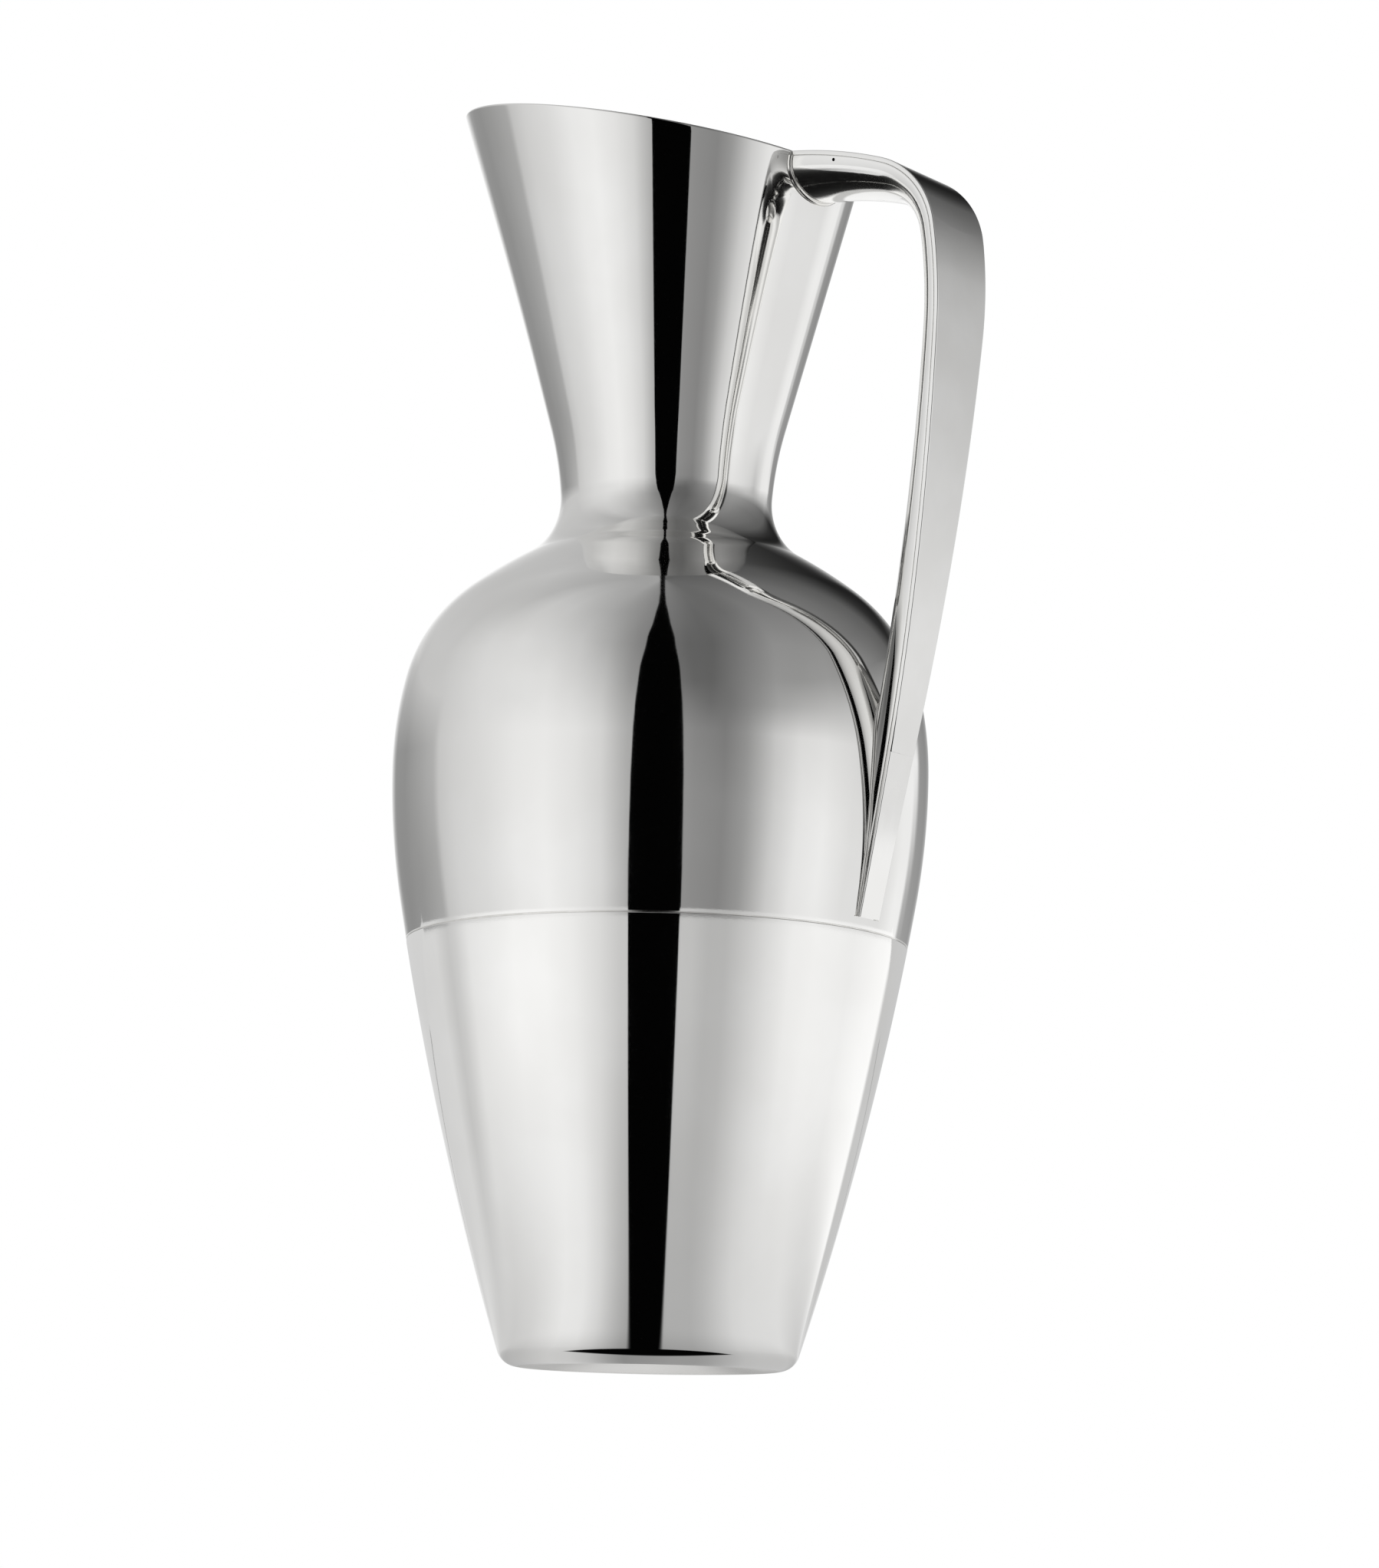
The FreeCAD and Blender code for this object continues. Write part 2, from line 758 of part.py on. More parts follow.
def make_vent():
    """Pin that drills the vent hole in the near cheek of the handle root."""
    position, _ = handle_point(dim("vent_reach") - dim("handle_side_rim_reach"))
    vent = doc.addObject("Part::Cylinder", "VentDrill")
    vent.setExpression("Radius", "Dimensions.vent_diameter / 2")
    vent.Height = dim("handle_half_width_root")
    start = Vector(position.x, -dim("handle_half_width_root") / 2.0, position.z - dim("vent_depth"))
    vent.Placement = Placement(start, Rotation(Vector(1.0, 0.0, 0.0), 90.0))
    return vent


# ------------------------------------------------------------------ assembly

envelope = make_envelope("BodyEnvelope", 0.0)
lower_body = make_lower_body()
lap_band = make_lap_band()
seam_solder = make_seam_solder()
upper_body = make_upper_body()
handle_plate = cut("HandlePlate", handle_solid("HandlePlateBlank", plate_section), envelope)
shell_trimmed = cut("HandleShellTrimmed", handle_solid("HandleShellBlank", shell_section), envelope)
handle_shell = cut("HandleShell", shell_trimmed, make_vent())
handle_core = handle_solid("HandleCore", lambda distance: filled_section(distance, 0.0))
mid_height = (dim("handle_foot_height") + dim("handle_side_rim_height")) / 2.0
root_collar = make_collar(
    "RootCollar", "root_collar_size", handle_core, envelope, mid_height, dim("rim_blank_height")
)
foot_collar = make_collar(
    "FootCollar", "foot_collar_size", handle_core, envelope, dim("seam_height"), mid_height
)
doc.recompute()

NODES = (
    ("lower_body", lower_body),
    ("upper_body", upper_body),
    ("seam_lap_band", lap_band),
    ("seam_solder", seam_solder),
    ("handle_outer_plate", handle_plate),
    ("handle_inner_shell", handle_shell),
    ("handle_root_collar", root_collar),
    ("handle_foot_collar", foot_collar),
)
for label, node in NODES:
    node.Label = label
doc.recompute()

for item in doc.Objects:
    if {"Invalid", "Error"} & set(item.State):
        raise RuntimeError(f"{item.Name} failed: {item.State}")
for label, node in NODES:
    if node.Shape.isNull() or not node.Shape.isValid():
        raise RuntimeError(f"{label} has no valid shape")

os.makedirs("parts", exist_ok=True)
for label, node in NODES:
    node.Shape.exportStep(f"parts/{label}.step")
    box = node.Shape.BoundBox
    print(
        f"{label}: {len(node.Shape.Solids)} solid, {node.Shape.Volume:.1f} mm3, "
        f"X {box.XMin:.2f}..{box.XMax:.2f} Y {box.YMin:.2f}..{box.YMax:.2f} Z {box.ZMin:.2f}..{box.ZMax:.2f}"
    )
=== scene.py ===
import math

import bmesh
import bpy
from mathutils import Matrix, Vector


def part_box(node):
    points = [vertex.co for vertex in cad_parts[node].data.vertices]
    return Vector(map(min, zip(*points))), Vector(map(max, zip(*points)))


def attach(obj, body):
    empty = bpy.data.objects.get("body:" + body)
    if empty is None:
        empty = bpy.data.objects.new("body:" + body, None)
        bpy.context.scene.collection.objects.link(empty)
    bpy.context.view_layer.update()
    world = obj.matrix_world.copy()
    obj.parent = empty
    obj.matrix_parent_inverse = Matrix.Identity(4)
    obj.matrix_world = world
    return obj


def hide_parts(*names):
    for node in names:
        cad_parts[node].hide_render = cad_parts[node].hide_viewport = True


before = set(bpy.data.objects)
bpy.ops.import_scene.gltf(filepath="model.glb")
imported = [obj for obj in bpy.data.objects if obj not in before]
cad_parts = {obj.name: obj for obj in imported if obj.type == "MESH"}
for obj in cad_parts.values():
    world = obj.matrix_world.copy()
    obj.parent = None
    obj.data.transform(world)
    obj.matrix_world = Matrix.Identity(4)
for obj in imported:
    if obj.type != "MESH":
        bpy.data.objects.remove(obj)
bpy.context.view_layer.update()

# Silver water pitcher: smooth skins, rounded edges and polished metal over the
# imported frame.  Shapes are worked out in millimetres and scaled to metres when a
# mesh is made; materials work in metres.

MM = 0.001


def middle_height(node):
    low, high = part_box(node)
    return (low.z + high.z) / 2.0 / MM


def top_height(node):
    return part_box(node)[1].z / MM


# ------------------------------------------------------------ driving values

WALL = 1.1
SEAM_HEIGHT = middle_height("seam_solder")
SEAM_GAP = 0.3
SEAM_EDGE_RADIUS = 0.12
SOLDER_RECESS = 0.12

FOOT_RADIUS = 34.13
FOOT_CORNER_RADIUS = 5.0
STANDING_RING_INNER_RADIUS = 27.0
BOTTOM_RISE = 2.0

# radius of each stretch of the outline and its slopes from vertical, degrees;
# outwards is positive and a negative radius is hollow
OUTLINE_STEPS = (
    (811.6, 17.79, 9.81),
    (180.3, 9.81, 0.0),
    (89.5, 0.0, -13.79),
    (37.9, -13.79, -52.9),
    (120.0, -52.9, -60.4),
    (-17.2, -60.4, 4.26),
    (-90.0, 4.26, 15.17),
)

RIM_HANDLE_REACH, RIM_HANDLE_HEIGHT = 44.5, 284.15
SPOUT_REACH, SPOUT_HEIGHT = 54.3, top_height("upper_body")
RIM_DISH_RADIUS = 2000.0
SPOUT_START_HEIGHT = 236.0
SPOUT_PULL = 3.8
SPOUT_SHARPNESS = 11

# handle line from the rim: radius and the slopes below level, degrees
HANDLE_STEPS = (
    (117.5, 7.0, 18.8),
    (21.7, 18.8, 82.4),
    (114.0, 82.4, 94.5),
    (719.0, 94.5, 102.4),
)
HANDLE_FOOT_HEIGHT = 102.0
# where along the handle its lines may enter the body: at the root, and before the foot
ROOT_SEARCH = (14.0, -10.0)
FOOT_SEARCH = 60.0
LONGEST_SECTION = 2.2
MOST_SECTION_TURN = 1.8
HALF_WIDTHS = (11.5, 10.0, 6.26, 4.0)
DEPTHS = (9.46, 7.52, 8.32, 6.07)
PLATE_THICKNESS = 1.2
PLATE_EDGE_RADIUS = 0.3
SHELL_THICKNESS = 0.9
SHELL_EDGE_RADIUS = 0.15
SOLDERED_IN = 0.5
ROOT_COLLAR_RADIUS = 0.8
FOOT_COLLAR_RADIUS = 0.5
VENT_RADIUS = 0.4
VENT_REACH = 55.0
VENT_DEPTH = 2.2
SOLDER_HOLLOW = 0.05

SHARP_TURN = math.radians(38.0)
AROUND = 320
AROUND_ANGLES = [2.0 * math.pi * number / AROUND for number in range(AROUND)]

# -------------------------------------------------------------- body outline


def body_arcs():
    """Tangent arcs of the outside: (centre_r, centre_z, radius, slope_from, slope_to)."""
    arcs = []
    reach, height = FOOT_RADIUS, 0.0
    for radius, first, last in OUTLINE_STEPS:
        start, end = math.radians(first), math.radians(last)
        centre_r = reach - radius * math.cos(start)
        centre_z = height + radius * math.sin(start)
        arcs.append((centre_r, centre_z, radius, start, end))
        reach = centre_r + radius * math.cos(end)
        height = centre_z - radius * math.sin(end)
    return arcs


ARCS = body_arcs()
MOUTH_SLOPE = ARCS[-1][4]


def arc_point(arc, slope, inset=0.0):
    """(r, z) on an arc of the outline, set in from the outside."""
    centre_r, centre_z, radius = arc[:3]
    return (
        centre_r + (radius - inset) * math.cos(slope),
        centre_z - (radius - inset) * math.sin(slope),
    )


def arc_slope(arc, height, inset=0.0):
    return math.asin((arc[1] - height) / (arc[2] - inset))


def radius_at(height, inset=0.0):
    """Radius of the body's wall at a height, set in from the outside."""
    for arc in ARCS:
        if height <= arc_point(arc, arc[4], inset)[1]:
            return arc_point(arc, arc_slope(arc, height, inset), inset)[0]
    reach, start = arc_point(ARCS[-1], MOUTH_SLOPE, inset)
    return reach + (height - start) * math.tan(MOUTH_SLOPE)


def reach_at(angle, height, inset=0.0):
    """Distance of the wall from the axis, drawn out at the spout side."""
    part_way = max(0.0, (height - SPOUT_START_HEIGHT) / (SPOUT_HEIGHT - SPOUT_START_HEIGHT))
    pull = SPOUT_PULL * part_way**2 * (2.0 - part_way)
    lobe = ((1.0 - math.cos(angle)) / 2.0) ** SPOUT_SHARPNESS
    return radius_at(height, inset) + pull * lobe


def rim_height_at(x):
    """Height of the rim along X: a shallow sweep, highest at the spout."""
    handle_side = Vector((RIM_HANDLE_REACH, RIM_HANDLE_HEIGHT))
    spout_side = Vector((-SPOUT_REACH, SPOUT_HEIGHT))
    chord = handle_side - spout_side
    upwards = Vector((-chord.y, chord.x)).normalized()
    rise = math.sqrt(RIM_DISH_RADIUS**2 - (chord.length / 2.0) ** 2)
    centre = (handle_side + spout_side) / 2.0 + upwards * rise
    return centre.y - math.sqrt(RIM_DISH_RADIUS**2 - (x - centre.x) ** 2)


def rim_height(angle, inset):
    """Height at which the wall meets the rim's sweep, at an angle from the handle."""
    height = RIM_HANDLE_HEIGHT
    for _ in range(12):
        height = rim_height_at(reach_at(angle, height, inset) * math.cos(angle))
    return height


# -------------------------------------------------------------- mesh helpers


def finish_mesh(name, points, faces, materials, picked=None):
    """Smooth object in metres; picked gives the material number of each face."""
    mesh = bpy.data.meshes.new(name)
    mesh.from_pydata([tuple(c * MM for c in point) for point in points], [], faces)
    for material in materials:
        mesh.materials.append(material)
    for polygon in mesh.polygons:
        polygon.use_smooth = True
        if picked:
            polygon.material_index = picked[polygon.index]
    mesh.set_sharp_from_angle(angle=SHARP_TURN)
    mesh.update()
    piece = bpy.data.objects.new(name, mesh)
    bpy.context.scene.collection.objects.link(piece)
    return piece


def faces_between(rows, around, closed_up=False, closed_round=True):
    """Quads between rows of points that each hold the same number of points."""
    faces = []
    pairs = [(row, row + 1) for row in range(rows - 1)]
    if closed_up:
        pairs.append((rows - 1, 0))
    last = around if closed_round else around - 1
    for low, high in pairs:
        for here in range(last):
            beside = (here + 1) % around
            faces.append(
                (low * around + here, low * around + beside, high * around + beside, high * around + here)
            )
    return faces


def stand_for(piece, node):
    """Show a piece in place of its CAD node, with wide faces leading the shading."""
    shading = piece.modifiers.new("shading", "WEIGHTED_NORMAL")
    shading.mode = "FACE_AREA"
    shading.keep_sharp = True
    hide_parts(node)
    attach(piece, "root")
    return piece


def level_row(radius, height):
    return [(radius * math.cos(a), radius * math.sin(a), height) for a in AROUND_ANGLES]


def outline_heights(low, high, inset, longest, most_turn):
    """Heights of rings along the outline, at most longest mm and most_turn degrees apart."""
    heights = [low]
    for arc in ARCS:
        turn = arc[4] - arc[3]
        count = math.ceil(max(abs(turn * arc[2]) / longest, abs(math.degrees(turn)) / most_turn))
        for step in range(1, count + 1):
            height = arc_point(arc, arc[3] + turn * step / count, inset)[1]
            if low + longest / 2.0 < height < high - longest / 2.0:
                heights.append(height)
    return heights + [high]


def round_steps(count, first=0.0, last=90.0):
    """Angles of a rounded edge, in radians."""
    return [math.radians(first + (last - first) * step / count) for step in range(count + 1)]


# ---------------------------------------------------------------- body pieces


def lower_outside_profile():
    """(r, z) of the outside of the cup, from the seam down to the standing ring."""
    top = SEAM_HEIGHT - SEAM_GAP / 2.0
    soft = SEAM_EDGE_RADIUS
    profile = []
    for turn in round_steps(4, 90.0, 0.0):
        height = top - soft * (1.0 - math.sin(turn))
        profile.append((radius_at(height, soft * (1.0 - math.cos(turn))), height))
    arc = ARCS[0]
    corner_slope = math.asin((arc[1] - FOOT_CORNER_RADIUS) / (arc[2] - FOOT_CORNER_RADIUS))
    corner_r = arc_point(arc, corner_slope, FOOT_CORNER_RADIUS)[0]
    corner_top = arc_point(arc, corner_slope)[1]
    heights = outline_heights(corner_top, top - soft, 0.0, longest=1.6, most_turn=1.5)
    profile += [(radius_at(z), z) for z in reversed(heights[:-1])]
    for turn in round_steps(14, math.degrees(corner_slope), 90.0)[1:]:
        profile.append(
            (
                corner_r + FOOT_CORNER_RADIUS * math.cos(turn),
                FOOT_CORNER_RADIUS * (1.0 - math.sin(turn)),
            )
        )
    return profile, corner_r, corner_slope


def dome_profile(rise, edge_height, steps=14):
    """(r, z) of a shallow dome from its edge to just short of the centre."""
    radius = (STANDING_RING_INNER_RADIUS**2 + BOTTOM_RISE**2) / (2.0 * BOTTOM_RISE) + rise
    centre = BOTTOM_RISE + rise - radius
    turn = math.acos((edge_height - centre) / radius)
    return [
        (radius * math.sin(turn * part / steps), centre + radius * math.cos(turn * part / steps))
        for part in range(steps, 0, -1)
    ]


def lower_inside_profile(corner_r, corner_slope):
    """(r, z) of the inside of the cup, from the floor up to the seam."""
    inner_corner = FOOT_CORNER_RADIUS - WALL
    profile = []
    for turn in round_steps(10, 90.0, math.degrees(corner_slope)):
        profile.append(
            (corner_r + inner_corner * math.cos(turn), FOOT_CORNER_RADIUS - inner_corner * math.sin(turn))
        )
    top = SEAM_HEIGHT - SEAM_GAP / 2.0
    for height in outline_heights(profile[-1][1], top, WALL, longest=3.0, most_turn=3.0)[1:]:
        profile.append((radius_at(height, WALL), height))
    return profile


def make_lower_body(outside, inside):
    """Spun cup with rounded foot corner, flat standing ring and pushed-up bottom."""
    outer, corner_r, corner_slope = lower_outside_profile()
    inner = lower_inside_profile(corner_r, corner_slope)
    underside = dome_profile(0.0, 0.0)
    floor = list(reversed(dome_profile(WALL, WALL)))
    first_half = outer + underside
    rings = first_half + floor + inner
    points = [point for radius, height in rings for point in level_row(radius, height)]
    faces = faces_between(len(first_half), AROUND)
    offset = len(first_half)
    upper_faces = faces_between(len(rings) - offset, AROUND)
    faces += [tuple(corner + offset * AROUND for corner in face) for face in upper_faces]
    picked = [0] * ((len(outer) - 1) * AROUND)
    picked += [1] * (len(faces) - len(picked))
    last_ring, rim_ring = (len(rings) - 1) * AROUND, 0
    for here in range(AROUND):
        beside = (here + 1) % AROUND
        faces.append((last_ring + here, last_ring + beside, rim_ring + beside, rim_ring + here))
        picked.append(0)
    for ring, height in ((offset - 1, BOTTOM_RISE), (offset, BOTTOM_RISE + WALL)):
        points.append((0.0, 0.0, height))
        centre = len(points) - 1
        for here in range(AROUND):
            faces.append((ring * AROUND + here, ring * AROUND + (here + 1) % AROUND, centre))
            picked.append(1)
    piece = finish_mesh("spun_cup", points, faces, [outside, inside], picked)
    return stand_for(piece, "lower_body")


def mouth_rows(inset, lip, steps):
    """Rows from the start of the spout to just below the rim."""
    tops = [rim_height(angle, inset) - lip for angle in AROUND_ANGLES]
    rows = []
    for step in range(1, steps + 1):
        row = []
        for angle, top in zip(AROUND_ANGLES, tops):
            height = SPOUT_START_HEIGHT + (top - SPOUT_START_HEIGHT) * step / steps
            reach = reach_at(angle, height, inset)
            row.append((reach * math.cos(angle), reach * math.sin(angle), height))
        rows.append(row)
    return rows


def lip_rows(lip):
    """Half-round edge of the rim, from the outer skin over to the inner one."""
    outer = [rim_height(angle, 0.0) for angle in AROUND_ANGLES]
    inner = [rim_height(angle, WALL) for angle in AROUND_ANGLES]
    rows = []
    for turn in round_steps(10, 0.0, 180.0)[1:-1]:
        inset = lip * (1.0 - math.cos(turn))
        row = []
        for angle, out_top, in_top in zip(AROUND_ANGLES, outer, inner):
            top = out_top + (in_top - out_top) * inset / WALL
            height = top - lip * (1.0 - math.sin(turn))
            reach = reach_at(angle, height, inset)
            row.append((reach * math.cos(angle), reach * math.sin(angle), height))
        rows.append(row)
    return rows


def make_upper_body(outside, inside):
    """Belly, shoulder, neck and spouted mouth with a rounded rim."""
    bottom = SEAM_HEIGHT + SEAM_GAP / 2.0
    soft = SEAM_EDGE_RADIUS
    lip = WALL / 2.0
    rows = []
    for turn in round_steps(4, 90.0, 0.0)[:-1]:
        height = bottom + soft * (1.0 - math.sin(turn))
        rows.append(level_row(radius_at(height, soft * (1.0 - math.cos(turn))), height))
    for height in outline_heights(bottom + soft, SPOUT_START_HEIGHT, 0.0, longest=1.3, most_turn=1.5):
        rows.append(level_row(radius_at(height), height))
    rows += mouth_rows(0.0, lip, steps=44)
    rows += lip_rows(lip)
    outer_rows = len(rows)
    rows += list(reversed(mouth_rows(WALL, lip, steps=24)))
    inner_heights = outline_heights(bottom, SPOUT_START_HEIGHT, WALL, longest=2.6, most_turn=3.0)
    for height in reversed(inner_heights):
        rows.append(level_row(radius_at(height, WALL), height))
    points = [point for row in rows for point in row]
    faces = faces_between(len(rows), AROUND, closed_up=True)
    picked = [0 if number < outer_rows * AROUND else 1 for number in range(len(faces))]
    piece = finish_mesh("raised_body", points, faces, [outside, inside], picked)
    return stand_for(piece, "upper_body")


def make_seam_solder(material):
    """Hairline of solder with a slightly hollow face between the two edges."""
    half = SEAM_GAP / 2.0
    rings = []
    for part in (-1.0, -0.5, 0.0, 0.5, 1.0):
        height = SEAM_HEIGHT + half * part
        rings.append((radius_at(height, SOLDER_RECESS + SOLDER_HOLLOW * (1.0 - part**2)), height))
    rings += [(radius_at(SEAM_HEIGHT + half, WALL), SEAM_HEIGHT + half)]
    rings += [(radius_at(SEAM_HEIGHT - half, WALL), SEAM_HEIGHT - half)]
    points = [point for radius, height in rings for point in level_row(radius, height)]
    faces = faces_between(len(rings), AROUND, closed_up=True)
    piece = finish_mesh("seam_solder_line", points, faces, [material])
    return stand_for(piece, "seam_solder")


# --------------------------------------------------------------------- handle


def handle_stretches():
    """(start_x, start_z, slope_from, slope_to, radius, length) from the rim down."""
    stretches = []
    x, z = RIM_HANDLE_REACH, RIM_HANDLE_HEIGHT
    for radius, first, last in HANDLE_STEPS:
        start, end = math.radians(first), math.radians(last)
        stretches.append((x, z, start, end, radius, radius * (end - start)))
        x += radius * (math.sin(end) - math.sin(start))
        z += radius * (math.cos(end) - math.cos(start))
    foot = math.radians(HANDLE_STEPS[-1][2])
    stretches.append((x, z, foot, foot, None, (z - HANDLE_FOOT_HEIGHT) / math.sin(foot)))
    return stretches


STRETCHES = handle_stretches()
HANDLE_LENGTH = sum(stretch[5] for stretch in STRETCHES)


def handle_centre(distance):
    """(x, z, slope) of the outer face's centre line; straight before and after its ends."""
    x, z, start = STRETCHES[0][:3]
    if distance < 0.0:
        return x + distance * math.cos(start), z - distance * math.sin(start), start
    left = distance
    for stretch in STRETCHES:
        x, z, start, _, radius, length = stretch
        if left <= length or stretch is STRETCHES[-1]:
            break
        left -= length
    if radius is None:
        return x + left * math.cos(start), z - left * math.sin(start), start
    slope = start + left / radius
    return (
        x + radius * (math.sin(slope) - math.sin(start)),
        z + radius * (math.cos(slope) - math.cos(start)),
        slope,
    )


def along_handle(sizes, distance):
    """Cubic through the sizes at the root, a third, two thirds and the foot."""
    part_way = min(1.0, max(0.0, distance / HANDLE_LENGTH))
    stations = (0.0, 1.0 / 3.0, 2.0 / 3.0, 1.0)
    total = 0.0
    for size, here in zip(sizes, stations):
        share = 1.0
        for other in stations:
            if other != here:
                share *= (part_way - other) / (here - other)
        total += share * size
    return total


def handle_point(section, distance):
    """Point of a section line at a distance; section gives (across, outwards)."""
    x, z, slope = handle_centre(distance)
    across, outwards = section(distance)
    return Vector((x + outwards * math.sin(slope), across, z + outwards * math.cos(slope)))


def outside_wall(point, inset):
    """How far a point lies outside the body's skin set in by inset."""
    angle = math.atan2(point.y, point.x)
    return math.hypot(point.x, point.y) - reach_at(angle, point.z, inset)


def crossing(section, outside, inside, inset):
    """Distance at which a line enters the skin, going from outside to inside; inside if it never does."""
    strides, halvings = 60, 30
    step = (inside - outside) / strides
    for _ in range(strides):
        if outside_wall(handle_point(section, outside + step), inset) <= 0.0:
            break
        outside += step
    else:
        return inside
    inside = outside + step
    for _ in range(halvings):
        middle = (outside + inside) / 2.0
        if outside_wall(handle_point(section, middle), inset) > 0.0:
            outside = middle
        else:
            inside = middle
    return inside


def root_crossing(section, inset):
    return crossing(section, *ROOT_SEARCH, inset)


def foot_crossing(section, inset):
    return crossing(section, HANDLE_LENGTH - FOOT_SEARCH, HANDLE_LENGTH, inset)


def handle_shares():
    """Shares of the length at which the handle is sectioned: closer where it bends."""
    distances = [0.0]
    travelled = 0.0
    for _, _, start, end, _, length in STRETCHES:
        count = math.ceil(max(length / LONGEST_SECTION, math.degrees(end - start) / MOST_SECTION_TURN))
        distances += [travelled + length * step / count for step in range(1, count + 1)]
        travelled += length
    return [distance / travelled for distance in distances]


SHARES = handle_shares()


def plate_lines():
    """Section lines of the strap: a flat strip with rounded edges."""
    soft = PLATE_EDGE_RADIUS
    lines = []
    for side, first in ((1.0, 0.0), (1.0, 90.0), (-1.0, 180.0), (-1.0, 270.0)):
        centre_out = -soft if first in (0.0, 270.0) else soft - PLATE_THICKNESS
        for turn in round_steps(5, first, first + 90.0):
            out = centre_out + soft * math.cos(turn)
            spread = abs(math.sin(turn)) * soft - soft
            lines.append(lambda d, s=side, a=spread, o=out: (s * (along_handle(HALF_WIDTHS, d) + a), o))
    flat_shares = [0.97, 0.85, 0.6, 0.3, 0.0, -0.3, -0.6, -0.85, -0.97]
    corner = len(lines) // 2

    def flat(share, out):
        return lambda d: (share * (along_handle(HALF_WIDTHS, d) - soft), out)

    underside = [flat(share, -PLATE_THICKNESS) for share in flat_shares]
    outer_face = [flat(-share, 0.0) for share in flat_shares]
    return lines[:corner] + underside + lines[corner:] + outer_face


def oval(distance, turn, thinner):
    """(across, outwards) of the gutter's half oval, at an angle from its +Y edge."""
    half = along_handle(HALF_WIDTHS, distance) - thinner
    deep = along_handle(DEPTHS, distance) - PLATE_THICKNESS - thinner
    return half * math.cos(turn), -PLATE_THICKNESS - deep * math.sin(turn)


def shell_lines():
    """Section lines of the gutter: outer half oval, then the inner one back."""
    soft = SHELL_EDGE_RADIUS

    def lip(side, share_in, share_down):
        return lambda d: (
            side * (along_handle(HALF_WIDTHS, d) - soft * share_in),
            -PLATE_THICKNESS - soft * share_down,
        )

    lines = [lip(1.0, 1.0, 0.0), lip(1.0, 0.3, 0.3), lip(1.0, 0.0, 1.0)]
    for turn in round_steps(36, 0.0, 180.0)[1:-1]:
        lines.append(lambda d, a=turn: oval(d, a, 0.0))
    lines += [lip(-1.0, 0.0, 1.0), lip(-1.0, 0.3, 0.3), lip(-1.0, 1.0, 0.0)]
    for turn in reversed(round_steps(20, 0.0, 180.0)):
        lines.append(lambda d, a=turn: oval(d, a, SHELL_THICKNESS))
    return lines


def handle_piece(name, lines, material):
    """Closed tube through the section lines, let into the body's wall at both ends."""
    ends = [(root_crossing(line, SOLDERED_IN), foot_crossing(line, SOLDERED_IN)) for line in lines]
    points = []
    for share in SHARES:
        for line, (root, foot) in zip(lines, ends):
            points.append(handle_point(line, root + (foot - root) * share))
    around = len(lines)
    faces = faces_between(len(SHARES), around)
    last = (len(SHARES) - 1) * around
    faces.append(tuple(range(around)))
    faces.append(tuple(reversed(range(last, last + around))))
    return finish_mesh(name, points, faces, [material])


def drill_vent(piece):
    """Small vent hole through the near cheek of the gutter, by the root."""
    x, z, _ = handle_centre(VENT_REACH - RIM_HANDLE_REACH)
    drill_length = HALF_WIDTHS[0]
    drill_mesh = bpy.data.meshes.new("vent_drill")
    shape = bmesh.new()
    bmesh.ops.create_cone(
        shape,
        cap_ends=True,
        segments=28,
        radius1=VENT_RADIUS * MM,
        radius2=VENT_RADIUS * MM,
        depth=drill_length * MM,
        matrix=Matrix.Translation(
            Vector((x, -drill_length, z - VENT_DEPTH)) * MM
        ) @ Matrix.Rotation(math.radians(90.0), 4, "X"),
    )
    shape.to_mesh(drill_mesh)
    shape.free()
    drill = bpy.data.objects.new("vent_drill", drill_mesh)
    bpy.context.scene.collection.objects.link(drill)
    cutter = piece.modifiers.new("vent", "BOOLEAN")
    cutter.operation = "DIFFERENCE"
    cutter.solver = "EXACT"
    cutter.object = drill
    bpy.context.view_layer.update()
    drilled = bpy.data.meshes.new_from_object(
        piece.evaluated_get(bpy.context.evaluated_depsgraph_get())
    )
    piece.modifiers.clear()
    piece.data = drilled
    drilled.set_sharp_from_angle(angle=SHARP_TURN)
    bpy.data.objects.remove(drill)
    bpy.data.meshes.remove(drill_mesh)


def make_handle_plate(material):
    piece = handle_piece("handle_strap", plate_lines(), material)
    return stand_for(piece, "handle_outer_plate")


def make_handle_shell(material):
    piece = handle_piece("handle_gutter", shell_lines(), material)
    drill_vent(piece)
    return stand_for(piece, "handle_inner_shell")


def collar_lines():
    """Section lines round the sides and back of the handle, from edge to edge."""
    lines = []
    for depth in (0.15, 0.5, 0.85):
        lines.append(lambda d, s=depth: (along_handle(HALF_WIDTHS, d), -PLATE_THICKNESS * s))
    for turn in round_steps(40, 0.0, 180.0):
        lines.append(lambda d, a=turn: oval(d, a, 0.0))
    for depth in (0.85, 0.5, 0.15):
        lines.append(lambda d, s=depth: (-along_handle(HALF_WIDTHS, d), -PLATE_THICKNESS * s))
    return lines


def skin_normal(point):
    """Outward normal of the body's skin near a point."""
    nudge = 0.05
    slopes = []
    for axis in (Vector((nudge, 0, 0)), Vector((0, nudge, 0)), Vector((0, 0, nudge))):
        slopes.append(outside_wall(point + axis, 0.0) - outside_wall(point - axis, 0.0))
    return Vector(slopes).normalized()


